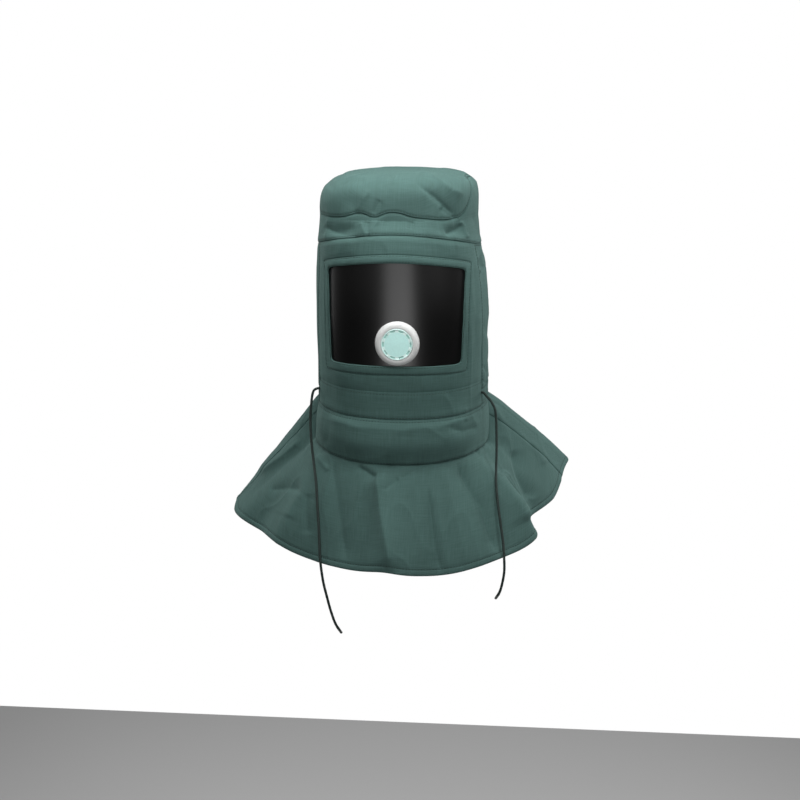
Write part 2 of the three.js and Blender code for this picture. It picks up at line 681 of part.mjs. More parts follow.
// White ring with its neck, open in the middle behind the cap. Its outside is a quarter of an ellipse.
function valveBody() {
  const outer = VALVE_DIAMETER / 2;
  const seat = CAP_DIAMETER / 2 + VALVE_GAP;
  const bore = NECK_DIAMETER / 2 - NECK_WALL;
  const foot = -PANE_THICK - VALVE_GAP - NUT_THICK - NECK_BEYOND;
  const floor = VALVE_HEIGHT - CAP_THICK - VALVE_GAP;
  const round = outer - seat - RING_LIP;
  const profile = [
    [bore, foot],
    [NECK_DIAMETER / 2, foot],
    [NECK_DIAMETER / 2, VALVE_GAP],
    [outer - RING_BEVEL, VALVE_GAP],
  ];
  for (let i = 0; i <= RING_STEPS; i += 1) {
    const angle = (i / RING_STEPS) * (Math.PI / 2);
    const rise = RING_EDGE + (VALVE_HEIGHT - RING_EDGE) * Math.sin(angle);
    profile.push([outer - round * (1 - Math.cos(angle)), rise]);
  }
  profile.push([seat, VALVE_HEIGHT - RING_BEVEL], [seat, floor], [bore, floor], [bore, foot]);
  return atValve(lathe(profile));
}

// Mint cap with a rim and a circle of slots.
function valveCap() {
  const radius = CAP_DIAMETER / 2;
  const foot = VALVE_HEIGHT - CAP_THICK;
  const profile = [
    [0, foot],
    [radius, foot],
    [radius, VALVE_HEIGHT],
    [radius - CAP_RIM_RISE, VALVE_HEIGHT + CAP_RIM_RISE],
    [radius - CAP_RIM, VALVE_HEIGHT + CAP_RIM_RISE],
    [radius - CAP_RIM - CAP_RIM_RISE, VALVE_HEIGHT],
    [0, VALVE_HEIGHT],
  ];
  let cap = solidOf(lathe(profile));
  for (let i = 0; i < SLOT_COUNT; i += 1) {
    const slot = new THREE.BoxGeometry(SLOT_LENGTH, 2 * SLOT_DEPTH, SLOT_WIDTH);
    slot.translate(0, VALVE_HEIGHT, SLOT_CIRCLE / 2);
    slot.rotateY(radians((i * FULL_TURN) / SLOT_COUNT));
    cap = cap.subtract(solidOf(slot));
  }
  return atValve(geometryOf(cap));
}

// Plain ring behind the pane that holds the valve.
function valveNut() {
  const bore = NECK_DIAMETER / 2 + VALVE_GAP;
  const front = -PANE_THICK - VALVE_GAP;
  const back = front - NUT_THICK;
  const profile = [
    [bore, back],
    [NUT_DIAMETER / 2, back],
    [NUT_DIAMETER / 2, front],
    [bore, front],
    [bore, back],
  ];
  return atValve(lathe(profile));
}

function cape(name, look, from, to) {
  const columns = Math.round((to - from) / COLUMN);
  const hemShare = HEM_HEIGHT / CAPE_DROP;
  const shares = [];
  for (let r = 0; r < CAPE_ROWS; r += 1) shares.push(((1 - hemShare) * r) / (CAPE_ROWS - 1));
  shares.push(1);
  const place = (c, r) => [lerp(from, to, c), shares[Math.round(r * CAPE_ROWS)]];
  const wall = (r) => (Math.round(r * CAPE_ROWS) >= CAPE_ROWS - 1 ? WALL + HEM_EXTRA : WALL);
  add(name, look, cloth(capePoint, place, columns, CAPE_ROWS, { wall, trimFoot: false }));
}

function cord(name, points) {
  const path = new THREE.CatmullRomCurve3(points.map((p) => new THREE.Vector3(...p)), false, "centripetal");
  const round = new THREE.Shape();
  for (let i = 0; i < CORD_SIDES; i += 1) {
    const angle = (i / CORD_SIDES) * 2 * Math.PI;
    const x = (CORD_DIAMETER / 2) * Math.cos(angle);
    const y = (CORD_DIAMETER / 2) * Math.sin(angle);
    if (i === 0) round.moveTo(x, y);
    else round.lineTo(x, y);
  }
  round.closePath();
  const steps = Math.round(path.getLength() / (CORD_STEP * CORD_DIAMETER));
  const tube = new THREE.ExtrudeGeometry(round, { steps, bevelEnabled: false, extrudePath: path });
  add(name, CORD_GREEN, tube);
}

add("crown_top", CANVAS, crownTop());
panel("crown_band", CANVAS, 0, FULL_TURN, crownSeam, level("bandSeam"), FRAME_ROWS);
add("face_panel", CANVAS_DARK, loopCloth(facePanelLoop, facingLoop, FRAME_ROWS));
add("window_facing", CANVAS_DARK, loopCloth(facingLoop, openingLoop, 2));
add("window_pane", SMOKED, pane());
add("valve_body", WHITE, valveBody());
add("valve_cap", MINT, valveCap());
add("valve_nut", WHITE, valveNut());
panel("chin_band", CANVAS_DARK, -SIDE_SEAM, SIDE_SEAM, level("chinSeam"), level("doubleSeam"), 2);
panel("collar", CANVAS_DARK, -COLLAR_END, COLLAR_END, level("doubleSeam"), capeSeam, FRAME_ROWS);
const [backFrom, backTo] = [SIDE_SEAM, FULL_TURN - SIDE_SEAM];
panel("hood_back", CANVAS, backFrom, backTo, level("bandSeam"), level("casingTop"), 5);
panel("neck_casing", CANVAS_DARK, backFrom, backTo, level("casingTop"), level("doubleSeam"), 2);
cape("cape_front", CANVAS, -SHOULDER_SEAM, SHOULDER_SEAM);
cape("cape_back", CANVAS, SHOULDER_SEAM, FULL_TURN - SHOULDER_SEAM);
for (const [name, points] of Object.entries(CORDS)) cord(name, points);

export default hood;
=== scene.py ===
"""Looks of the sandblasting hood: sewn canvas with folds, a window whose near-black colour is painted shade
of the hood's dark inside, a valve and cords.
"""

import math

import bpy
import numpy as np
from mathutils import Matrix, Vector


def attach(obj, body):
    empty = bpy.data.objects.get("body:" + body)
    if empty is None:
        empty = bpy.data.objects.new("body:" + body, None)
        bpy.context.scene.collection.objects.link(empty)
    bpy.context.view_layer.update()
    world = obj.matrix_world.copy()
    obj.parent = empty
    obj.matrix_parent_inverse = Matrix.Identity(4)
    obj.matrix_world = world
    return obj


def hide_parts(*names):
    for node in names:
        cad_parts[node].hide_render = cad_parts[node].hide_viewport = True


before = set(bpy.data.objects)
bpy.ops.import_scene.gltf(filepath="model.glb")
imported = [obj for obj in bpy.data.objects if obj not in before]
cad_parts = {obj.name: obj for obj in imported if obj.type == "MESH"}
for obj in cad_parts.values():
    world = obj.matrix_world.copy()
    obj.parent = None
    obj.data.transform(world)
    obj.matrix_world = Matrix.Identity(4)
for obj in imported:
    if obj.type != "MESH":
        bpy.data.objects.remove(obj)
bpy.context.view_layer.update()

MM = 0.001
SEED = 11

# Camera of the photograph: angles in degrees, lengths in metres, sizes in pixels of the 800-pixel frame
IMAGE = 800
AZIMUTH = 5
ELEVATION = 14
DISTANCE = 1.9
AIM = np.array([0, 0, -310.0])  # millimetres, as all cloth sizes below
AIM_PIXEL = (404, 400)
FOCAL = 1407  # pixels
SENSOR = 36

# Sizes of the part, in millimetres and degrees, as in its source
HEAD_WIDTH = 225
FACE_REACH = 128
BACK_REACH = 118
COLLAR_DROP = 363
CROWN_HEIGHT = 54.5
CAPE_HALF_SPREAD = 225
CAPE_REACH = 205
CAPE_DROP = 119
WALL = 1.8
HEM_EXTRA = 0.9
HEM_HEIGHT = 8
WINDOW_TOP = 176
WINDOW_BOTTOM = 168
WINDOW_SHIFT = -2
WINDOW_CORNER = 0.07
FACING_SIDE = 6
PANE_THICK = 2
PANE_LAP = 4
PANE_GAP = 0.4
VALVE_DIAMETER = 56
VALVE_HEIGHT = 9.5
VALVE_SHIFT = 2.5
VALVE_RISE = 29
CAP_DIAMETER = 39.5
CAP_THICK = 3.5
NECK_DIAMETER = 40
NECK_WALL = 2.5
NUT_DIAMETER = 52
NUT_THICK = 4
VALVE_GAP = 0.3
SLOT_COUNT = 10
SLOT_RADIUS = 17.2
SLOT_LENGTH = 6.6
SLOT_WIDTH = 2.4
SLOT_DEPTH = 1.2
FLAT_SINK = 2.4
FLAT_BLEND = 8  # hidden under the ring, where the source spreads it further
CORD_DIAMETER = 3.6
SIDE_SEAM = 66
COLLAR_END = 90
SHOULDER_SEAM = 84
FULL_TURN = 360

LEVEL_NAMES = [
    "crownRim", "bandSeam", "facingTop", "windowTop", "windowMid", "windowFoot",
    "facingFoot", "chinSeam", "casingTop", "doubleSeam", "collarMid", "capeSeam",
]
LEVEL_COLUMNS = ["front", "side", "back", "width", "face", "rear", "square", "shift"]
LEVELS = np.array([
    [0.16, 0.16, 0.16, 0.908, 0.75, 0.86, 2.7, -0.043],
    [0.204, 0.262, 0.262, 0.94, 0.825, 0.93, 2.5, -0.037],
    [0.267, 0.33, 0.33, 0.97, 0.9, 0.97, 2.3, -0.02],
    [0.295, 0.356, 0.356, 0.98, 0.925, 0.98, 2.3, -0.015],
    [0.47, 0.503, 0.503, 1, 0.992, 1, 2.3, 0],
    [0.648, 0.656, 0.656, 1, 1, 0.99, 2.3, 0],
    [0.68, 0.687, 0.68, 1, 0.995, 0.97, 2.3, 0],
    [0.744, 0.733, 0.715, 1, 0.985, 0.92, 2.3, 0],
    [0.79, 0.765, 0.775, 1, 0.98, 0.84, 2.3, 0],
    [0.84, 0.825, 0.84, 1.005, 0.98, 0.8, 2.3, 0],
    [0.925, 0.9, 0.87, 1.03, 1.07, 0.81, 2.3, 0],
    [1, 0.97, 0.9, 1.035, 1.02, 0.82, 2.3, 0],
])
CROWN_RIM_DEPTH = LEVELS[0, 1] * COLLAR_DROP
SECTION_CENTRE = -0.078
LEVEL_FALL = 1.5
CROWN_SQUARE = {"left": 5, "right": 3.6}
CROWN_SEAM_FRONT = -0.07
CROWN_SEAM_SIDE = -0.5
CROWN_SEAM_TURN = {"left": (52, 84), "right": (66, 90)}
POLE = -0.985
SEAT = np.array([0, 0, CROWN_RIM_DEPTH - CROWN_HEIGHT])  # the shapes below are made this much too low
COLLAR_TAPER = 15
COLLAR_TIP = 0.12

# Hem of the cape: place on the collar in degrees, x, y and drop as shares of the cape's sizes, and belly
HEM = np.array([
    [0, -0.022, -1, 0.99, 0.045], [12, 0.155, -0.975, 1.025, 0.045], [25, 0.385, -0.893, 1.02, 0.045],
    [40, 0.64, -0.74, 0.92, 0.045], [53, 0.8, -0.54, 0.845, 0.045], [64, 0.745, -0.3, 0.79, 0.045],
    [76, 0.91, -0.02, 0.665, 0.045], [87, 0.975, 0.24, 0.455, 0.045], [98, 1, 0.4, 0.4, 0.045],
    [118, 0.85, 0.6, 0.64, 0.045], [140, 0.56, 0.8, 0.83, 0.045], [165, 0.2, 0.93, 0.93, 0.045],
    [195, -0.2, 0.93, 0.93, 0.045], [220, -0.56, 0.8, 0.9, 0.045], [243, -0.87, 0.52, 0.8, 0.02],
    [266, -1.01, 0.16, 0.73, 0], [284, -1.025, -0.17, 0.825, 0], [307, -0.8, -0.45, 0.915, 0.02],
    [327, -0.575, -0.69, 1, 0.045], [343, -0.3, -0.89, 1.015, 0.045],
])

# Folds of the cape: place and spread in degrees, rise as a share of its drop, share where each begins
FOLDS = [
    (358, 5, 0.035, 0.05), (349, 6, -0.03, 0.1), (334, 6, -0.04, 0.1), (316, 7, 0.04, 0.15),
    (300, 6, -0.04, 0.1), (18, 5, -0.025, 0.2), (44, 7, -0.06, 0), (57, 5, 0.05, 0), (150, 9, -0.04, 0.1),
    (180, 8, 0.04, 0.1), (210, 9, -0.04, 0.1),
]

# Dents of the hood: degrees, level, width, height, lean and sink
DENTS = [
    (33, -0.3, 9, 0.17, -0.004, 0.05), (-33, -0.22, 8, 0.14, 0.004, 0.05), (-38, 0.55, 10, 0.35, 0, 0.07),
    (45, 0.55, 12, 0.35, 0, 0.05), (74, 2.2, 6, 0.6, 0, 0.06),
]

# How the crown's seam waves at the front: degrees, and levels up (below zero) or down
CROWN_WAVE = [
    (-88, 0), (-80, 0.02), (-66, 0.03), (-52, 0.045), (-40, 0.03), (-27, -0.05), (-15, 0.04), (-6, -0.05),
    (4, -0.05), (16, 0.02), (28, 0.04), (38, 0.06), (46, 0.05), (52, 0.03), (58, -0.05), (66, -0.1),
    (76, -0.04), (84, 0),
]

# Routes of the cords, in millimetres, as in the part's source
CORDS = {
    "left": [
        (106.17, -58.07, -283), (109, -59.2, -283.3), (113.5, -64, -287), (118, -68, -291), (124, -72, -301),
        (126, -74, -315), (127, -79, -334), (127.5, -86, -354), (127.5, -94, -375), (128, -107, -391),
        (131, -122, -414), (135, -134, -436), (138.5, -144, -456), (140.5, -153, -474), (141, -155, -492),
        (139, -155, -507), (135.5, -154, -521), (130, -153, -531),
    ],
    "right": [
        (-106.1, -58.04, -282), (-109, -59.2, -282), (-113, -64, -284), (-115.5, -72, -301),
        (-116, -77, -325), (-113.5, -85, -352), (-110, -95, -370), (-104, -116, -390), (-99.5, -136, -419),
        (-96, -150, -445),
        (-93, -164, -476), (-91.5, -167, -489), (-88.5, -168, -510), (-84, -168, -530), (-79.5, -167, -549),
        (-73.5, -165, -568), (-66, -163, -581),
    ],
}

# Creases seen from the front, along lines in the photograph's frame: points in pixels, width in pixels to the
# left and to the right of the line as it runs, and height in millimetres, below zero for a valley.
CREASES = [
    # crown
    ([(416, 181), (424, 189), (435, 198), (444, 206), (454, 215)], 4, 2, -3.4),
    ([(440, 208), (448, 214), (457, 219)], 3, 3, -2.2),
    ([(417, 171), (430, 176), (441, 183), (452, 190), (464, 195)], 3.5, 5, 3.2),
    ([(344, 171), (334, 178), (326, 187)], 6, 6, -2),
    ([(440, 167), (455, 168), (468, 172)], 5, 5, 2),
    ([(371, 190), (364, 198), (360, 206), (358, 213)], 2, 4, 1.8),
    ([(380, 200), (376, 207), (374, 214)], 3, 3, -1.4),
    ([(391, 174), (391, 188)], 5, 5, -1),
    ([(329, 179), (345, 176), (360, 177)], 3, 3, 1),
    ([(338, 186), (352, 181), (366, 180)], 3, 3, -1),
    # band
    ([(324, 226), (332, 231), (346, 235), (360, 237)], 6, 4, -3.2),
    ([(361, 222), (364, 231), (368, 240)], 2, 2.5, 1.6),
    ([(379, 221), (373, 228), (369, 237)], 2, 2.5, 1.5),
    ([(368, 222), (368, 234)], 2, 2, -1),
    ([(412, 222), (410, 230)], 2, 2.5, -0.9),
    ([(463, 224), (455, 230), (444, 235)], 5, 4, -3),
    ([(460, 221), (464, 230), (467, 239)], 1.8, 1.8, 1.8),
    ([(473, 214), (477, 226), (480, 238)], 2, 3, -1.2),
    # face round the window
    ([(319, 242), (350, 241), (402, 238), (440, 239), (480, 242)], 14, 14, 3.6),
    ([(474, 258), (476, 300), (475, 350)], 1.5, 1.5, -0.6),
    ([(479, 262), (480, 300), (479, 352)], 2.5, 2.5, 0.7),
    ([(322, 262), (322, 310), (324, 350)], 1.5, 2.5, -0.6),
    # right side
    ([(485, 264), (483, 272), (480.5, 281)], 2.5, 1.5, -1.8),
    ([(483, 322), (486, 331), (489, 338)], 2.5, 2, -1.5),
    ([(482, 366), (487, 372), (491, 376)], 1.5, 1.5, -1.2),
    ([(482, 380), (487, 385), (491, 390)], 1.5, 1.5, -1.2),
    # collar
    ([(320, 416), (360, 428), (402, 431), (440, 427), (476, 412)], 18, 13, 5.5),
    ([(330, 405), (331, 425), (326, 446)], 4, 5, -1),
    ([(349, 412), (350, 436), (347, 455)], 3, 5, 0.6),
    ([(447, 428), (462, 431), (478, 427)], 3, 4, -1.8),
    ([(465, 408), (465, 421)], 1.8, 1.8, 1.2),
    ([(476, 450), (482, 456)], 1.5, 1.5, -1),
    # cape
    ([(377, 474), (380, 492), (383, 515), (387, 543), (390, 572)], 9, 9, 12),
    ([(357, 465), (366, 471), (377, 478)], 2.5, 4, -4),
    ([(399, 479), (391, 485), (384, 492)], 2, 3, -2),
    ([(421, 466), (410, 473), (400, 479)], 2, 3, -1.5),
    ([(428.7, 490), (432, 523), (435, 545), (441, 573)], 1.6, 2.4, -3),
    ([(435, 490), (439, 523), (443, 545), (448, 570)], 5, 4, 2.2),
    ([(414, 484), (418, 520), (424, 565)], 5, 7, 1.4),
    ([(457, 463), (469, 483), (483, 505), (492, 531), (499, 552)], 6, 10, -7.5),
    ([(444, 466), (452, 500), (462, 545), (466, 566)], 7, 7, 2),
    ([(502, 470), (512, 489), (520, 503), (529, 521)], 3, 11, 8),
    ([(500, 446), (505, 470)], 4, 4, 1.5),
    ([(512, 450), (518, 475), (528, 500)], 8, 4, -5),
    ([(501, 421), (494, 404)], 3, 3, 1.5),
    ([(532, 440), (545, 465)], 7, 7, 1.8),
    ([(331, 460), (336, 495), (341, 530), (346, 562)], 14, 8, -3.5),
    ([(317, 455), (322, 463), (328, 470)], 2.5, 2.5, 1.6),
    ([(302, 440), (284, 456), (260, 473)], 3, 8, 4.5),
    ([(268, 489), (284, 488), (300, 488)], 7, 5, -3),
    ([(300, 492), (293, 505), (288, 518)], 7, 8, 2.2),
    ([(307, 493), (306, 515), (307, 535)], 6, 4, -3),
    ([(305, 422), (293, 436), (273, 452)], 2, 2, -0.8),
]

CREASE_ROUND = 1.2  # pixels over which a crease is rounded

# Sewing
SEAM_DEEP = 0.9  # how far the cloth's edge turns in at a seam
SEAM_WIDE = 1.0
SEAM_FULL = 0.12  # rise of the cloth beside a seam
SEAM_PUCKER = 0.7
PUCKER_REACH = 12
PUCKER_LENGTH = 10
GAP = 0.15  # half of the slit between two sewn pieces
UNDER = 3  # how far an edge that lies under its neighbour goes on below it
THIN = 0.8  # wall of both edges where they lap
LAP = 0.6  # how far an overlapping edge stands above the other
STITCH_LENGTH = 3.1
STITCH_SPACE = 0.8
STITCH_RADIUS = 0.28
STITCH_SINK = 0.35  # depth of the groove that a row of stitches draws into the cloth
TOPSTITCH = 2.2  # distance of a row of stitches from its seam
DOUBLE_ROW = 3.4
SECOND_ROW = 5.6
HEM_STITCH = 8.0
SEAM_SHADE_THREAD = 0.6  # distance of a row of dark thread deep in the crown's seam: thread, and painted shade of the seam's groove
CROWN_SEAM_DEEP = 3
CALM_REACH = 9  # from a seam to where the cloth drapes freely
LAP_REACH = 9
THIN_REACH = 4
HEM_TURN = 0.9
HEM_GROOVE = 0.45
HEM_FULL = 0.3
GATHER = (9, 60, 5)  # length round the hood, length down it, and place in the noise
SEAM_END = 15  # from the hem to where a seam is as deep as it gets


def camera_axes():
    a, e = math.radians(AZIMUTH), math.radians(ELEVATION)
    right = np.array([math.cos(a), math.sin(a), 0])
    back = np.array([math.sin(a) * math.cos(e), -math.cos(a) * math.cos(e), math.sin(e)])
    return right, back, np.cross(back, right)


RIGHT, BACK, UP = camera_axes()
EYE = AIM + DISTANCE / MM * BACK


def add_object(name, data):
    obj = bpy.data.objects.new(name, data)
    bpy.context.scene.collection.objects.link(obj)
    return obj


def make_camera():
    data = bpy.data.cameras.new("camera")
    data.lens = FOCAL / IMAGE * SENSOR
    data.sensor_width = SENSOR
    data.shift_x = (IMAGE / 2 - AIM_PIXEL[0]) / IMAGE
    data.shift_y = (AIM_PIXEL[1] - IMAGE / 2) / IMAGE
    data.clip_end = 60
    obj = add_object("camera", data)
    obj.location = Vector((EYE + SEAT) * MM)
    obj.rotation_euler = Vector(-BACK).to_track_quat("-Z", "Y").to_euler()
    bpy.context.scene.camera = obj


def pixel(points):
    """Places of points in the photograph's frame, in pixels."""
    d = points - AIM
    depth = DISTANCE / MM - d @ BACK
    return np.stack([AIM_PIXEL[0] + FOCAL * (d @ RIGHT) / depth, AIM_PIXEL[1] - FOCAL * (d @ UP) / depth], -1)


# Shapes of the source


def hermite(x, p, t):
    span = x[2] - x[1]
    with np.errstate(divide="ignore", invalid="ignore"):
        slope1 = np.where(x[1] > x[0], (p[2] - p[0]) / (x[2] - x[0]) * span, p[2] - p[1])
        slope2 = np.where(x[3] > x[2], (p[3] - p[1]) / (x[3] - x[1]) * span, p[2] - p[1])
    t2, t3 = t * t, t * t * t
    start = (2 * t3 - 3 * t2 + 1) * p[1] + (t3 - 2 * t2 + t) * slope1
    return start + (3 * t2 - 2 * t3) * p[2] + (t3 - t2) * slope2


def level_value(column, level):
    last = len(LEVELS) - 1
    i = np.clip(np.floor(level).astype(int), 0, last - 1)
    rows = [np.maximum(i - 1, 0), i, i + 1, np.minimum(i + 2, last)]
    front = LEVELS[:, 0]
    values = LEVELS[:, LEVEL_COLUMNS.index(column)]
    return hermite([front[r] for r in rows], [values[r] for r in rows], level - i)


def hem_value(column, degrees):
    at = np.mod(degrees, FULL_TURN)
    count = len(HEM)
    place = np.concatenate([HEM[-1:, 0] - FULL_TURN, HEM[:, 0], HEM[:2, 0] + FULL_TURN])
    value = np.concatenate([HEM[-1:, column], HEM[:, column], HEM[:2, column]])
    i = np.clip(np.searchsorted(HEM[:, 0], at, side="right") - 1, 0, count - 1) + 1
    t = (at - place[i]) / (place[i + 1] - place[i])
    return hermite([place[i + k] for k in (-1, 0, 1, 2)], [value[i + k] for k in (-1, 0, 1, 2)], t)


def smooth(t):
    t = np.clip(t, 0, 1)
    return t * t * (3 - 2 * t)


def apart(a, b):
    return np.mod(a - b + FULL_TURN / 2, FULL_TURN) - FULL_TURN / 2


def bell(distance, width):
    return np.exp(-((distance / width) ** 2))


def lerp(a, b, t):
    return a + (b - a) * t


def level_of(name):
    return LEVEL_NAMES.index(name)


def hood_point(degrees, level):
    degrees, level = np.broadcast_arrays(np.asarray(degrees, float), np.asarray(level, float))
    s, c = np.sin(np.radians(degrees)), np.cos(np.radians(degrees))
    body = np.maximum(level, 0)
    square = level_value("square", body)
    centre = SECTION_CENTRE * FACE_REACH
    width = level_value("width", body) * HEAD_WIDTH / 2
    face = level_value("face", body) * FACE_REACH + centre
    rear = level_value("rear", body) * BACK_REACH - centre
    reach = np.where(c > 0, face, rear)
    radius = ((np.abs(s) / width) ** square + (np.abs(c) / reach) ** square) ** (-1 / square)
    side = level_value("side", body)
    end = np.where(c > 0, level_value("front", body), level_value("back", body))
    z = -(side + (end - side) * np.abs(c) ** LEVEL_FALL) * COLLAR_DROP
    climb = np.radians(90 * (np.minimum(level, 0) + 1))
    corner = lerp(CROWN_SQUARE["right"], CROWN_SQUARE["left"], (s + 1) / 2)
    norm = (np.sin(climb) ** corner + np.abs(np.cos(climb)) ** corner) ** (1 / corner)
    inward = np.where(level < 0, np.sin(climb) / norm, 1)
    z = z + np.where(level < 0, (CROWN_HEIGHT + WALL) * np.cos(climb) / norm, 0)
    sink = 0
    for at, row, wide, high, lean, deep in DENTS:
        across = apart(degrees, at)
        sink = sink + deep * CROWN_HEIGHT * bell(across, wide) * bell(level - row - lean * across, high)
    out = (radius - sink) * inward
    shift = level_value("shift", body) * HEAD_WIDTH / 2
    return np.stack([s * out + shift, centre * inward - c * out, z], -1)


def crown_seam(degrees):
    turned = apart(degrees, 0)
    off = np.abs(turned)
    from_end = np.where(off > 90, 180 - off, off)
    turns = zip(CROWN_SEAM_TURN["left"], CROWN_SEAM_TURN["right"])
    start, end = (np.where(turned > 0, left, right) for left, right in turns)
    at, wave = np.array(CROWN_WAVE).T
    waves = sum(np.interp(turned + k, at, wave) for k in (-4, -2, 0, 2, 4)) / 5
    return lerp(CROWN_SEAM_FRONT, CROWN_SEAM_SIDE, smooth((from_end - start) / (end - start))) + waves


def cape_seam(degrees):
    off = np.abs(apart(degrees, 0))
    t = smooth((off - COLLAR_END + COLLAR_TAPER) / COLLAR_TAPER)
    tip = np.where(off > COLLAR_END, 0, COLLAR_TIP)
    return lerp(level_of("capeSeam"), level_of("doubleSeam") + tip, t)


def cape_point(degrees, share):
    degrees, share = np.broadcast_arrays(np.asarray(degrees, float), np.asarray(share, float))
    top = hood_point(degrees, cape_seam(degrees))
    hem = np.stack([
        hem_value(1, degrees) * CAPE_HALF_SPREAD,
        hem_value(2, degrees) * CAPE_REACH,
        -COLLAR_DROP - hem_value(3, degrees) * CAPE_DROP,
    ], -1)
    down = unit(hem - top)
    angle = np.radians(degrees)
    side = np.stack([np.cos(angle), np.sin(angle), 0 * angle], -1)
    out = -unit(np.cross(side, down))
    out = np.where(out[..., 2:] < 0, -out, out)
    rise = hem_value(4, degrees) * 4 * share * (1 - share)
    for at, spread, high, start in FOLDS:
        rise = rise + high * bell(apart(degrees, at), spread) * smooth((share - start) / (1 - start))
    return lerp(top, hem, share[..., None]) + out * (rise * CAPE_DROP)[..., None]


def unit(v):
    return v / np.maximum(np.linalg.norm(v, axis=-1, keepdims=True), 1e-9)


def normal_of(surface, u, v, du=0.5, dv=0.02):
    across = surface(u + du, v) - surface(u - du, v)
    along = surface(u, v + dv) - surface(u, v - dv)
    return unit(np.cross(along, across))


# Unevenness of the cloth

LATTICE = np.random.RandomState(SEED).rand(64, 64, 64)


def noise(points, size, offset=0):
    """Smooth noise from -1 to 1 with features of that size, in millimetres."""
    p = points / size + 40.7 + offset
    i = np.floor(p).astype(int)
    f = p - i
    f = f * f * (3 - 2 * f)
    total = 0
    for corner in np.ndindex(2, 2, 2):
        k = (i + corner) % 64
        weight = np.prod(np.where(np.array(corner) == 1, f, 1 - f), -1)
        total = total + weight * LATTICE[k[..., 0], k[..., 1], k[..., 2]]
    return total * 2 - 1


def line_distance(places, line):
    """Signed distance of places from a line of points, and the share along it."""
    line = np.array(line, float)
    best = np.full(places.shape[:-1], np.inf)
    sign = np.ones(places.shape[:-1])
    along = np.zeros(places.shape[:-1])
    lengths = np.linalg.norm(np.diff(line, axis=0), axis=-1)
    start = 0
    for a, b, length in zip(line[:-1], line[1:], lengths):
        d = (b - a) / length
        q = places - a
        t = np.clip(q @ d, 0, length)
        gap = np.linalg.norm(q - t[..., None] * d, axis=-1)
        nearer = gap < best
        best = np.where(nearer, gap, best)
        sign = np.where(nearer, np.sign(q[..., 0] * d[1] - q[..., 1] * d[0] + 1e-9), sign)
        along = np.where(nearer, (start + t) / lengths.sum(), along)
        start += length
    return best, sign, along


def creases(points, normals):
    """Height of the listed creases, for points that face the camera."""
    facing = smooth((np.sum(unit(EYE - points) * normals, -1) + 0.15) / 0.35)
    places = pixel(points)
    high = 0
    for line, left, right, height in CREASES:
        gap, sign, along = line_distance(places, line)
        width = np.where(sign > 0, left, right)
        taper = smooth(along / 0.2 + 0.25) * smooth((1 - along) / 0.2 + 0.25)
        away = np.hypot(gap, CREASE_ROUND) - CREASE_ROUND
        high = high + height * np.exp(-away / (0.8 * width)) * taper
    return high * facing


def drape(points, normals, rough):
    """Relief of the free cloth, out from the surface."""
    stretched = points * np.array([1, 1, 0.45])
    soft = 1.1 * noise(stretched, 55) + 0.7 * noise(stretched, 24, 3)
    fold = 1 - np.abs(noise(stretched, 38, 9))
    return rough * (soft + 1.3 * (fold**7 - 0.3)) + creases(points, normals)


def girth(points):
    """How far round the hood the points lie."""
    return np.arctan2(points[..., 0], -points[..., 1]) * HEAD_WIDTH / 2


def round_noise(points, length, tall, offset):
    """Noise that changes quickly round the hood and slowly down it, for gathers."""
    turn = girth(points)
    return noise(np.stack([turn / length, 0 * turn, points[..., 2] / tall], -1), 1, offset)


# Meshes


def add_mesh(name, points, faces, uvs=None):
    """A smooth mesh from points in millimetres before the hood is raised to its seat."""
    mesh = bpy.data.meshes.new(name)
    places = (np.asarray(points) + SEAT) * MM
    mesh.from_pydata(places.tolist(), [], [tuple(map(int, face)) for face in faces])
    if uvs is not None:
        layer = mesh.uv_layers.new(name="cloth")
        loops = np.zeros(len(mesh.loops), int)
        mesh.loops.foreach_get("vertex_index", loops)
        layer.data.foreach_set("uv", np.asarray(uvs, float)[loops].ravel())
    mesh.polygons.foreach_set("use_smooth", np.full(len(mesh.polygons), True))
    mesh.update()
    return add_object(name, mesh)


def quads(index, ring=False, flip=False):
    """Faces between the rows and columns of a grid of vertex numbers."""
    right = np.roll(index, -1, 1) if ring else index[:, 1:]
    left = index if ring else index[:, :-1]
    faces = np.stack([left[:-1], left[1:], right[1:], right[:-1]], -1).reshape(-1, 4)
    return faces[:, [0, 3, 2, 1]] if flip else faces


def grid_arcs(points, axis):
    step = np.linalg.norm(np.diff(points, axis=axis), axis=-1)
    zero = np.zeros_like(np.take(step, [0], axis=axis))
    return np.concatenate([zero, np.cumsum(step, axis=axis)], axis=axis)


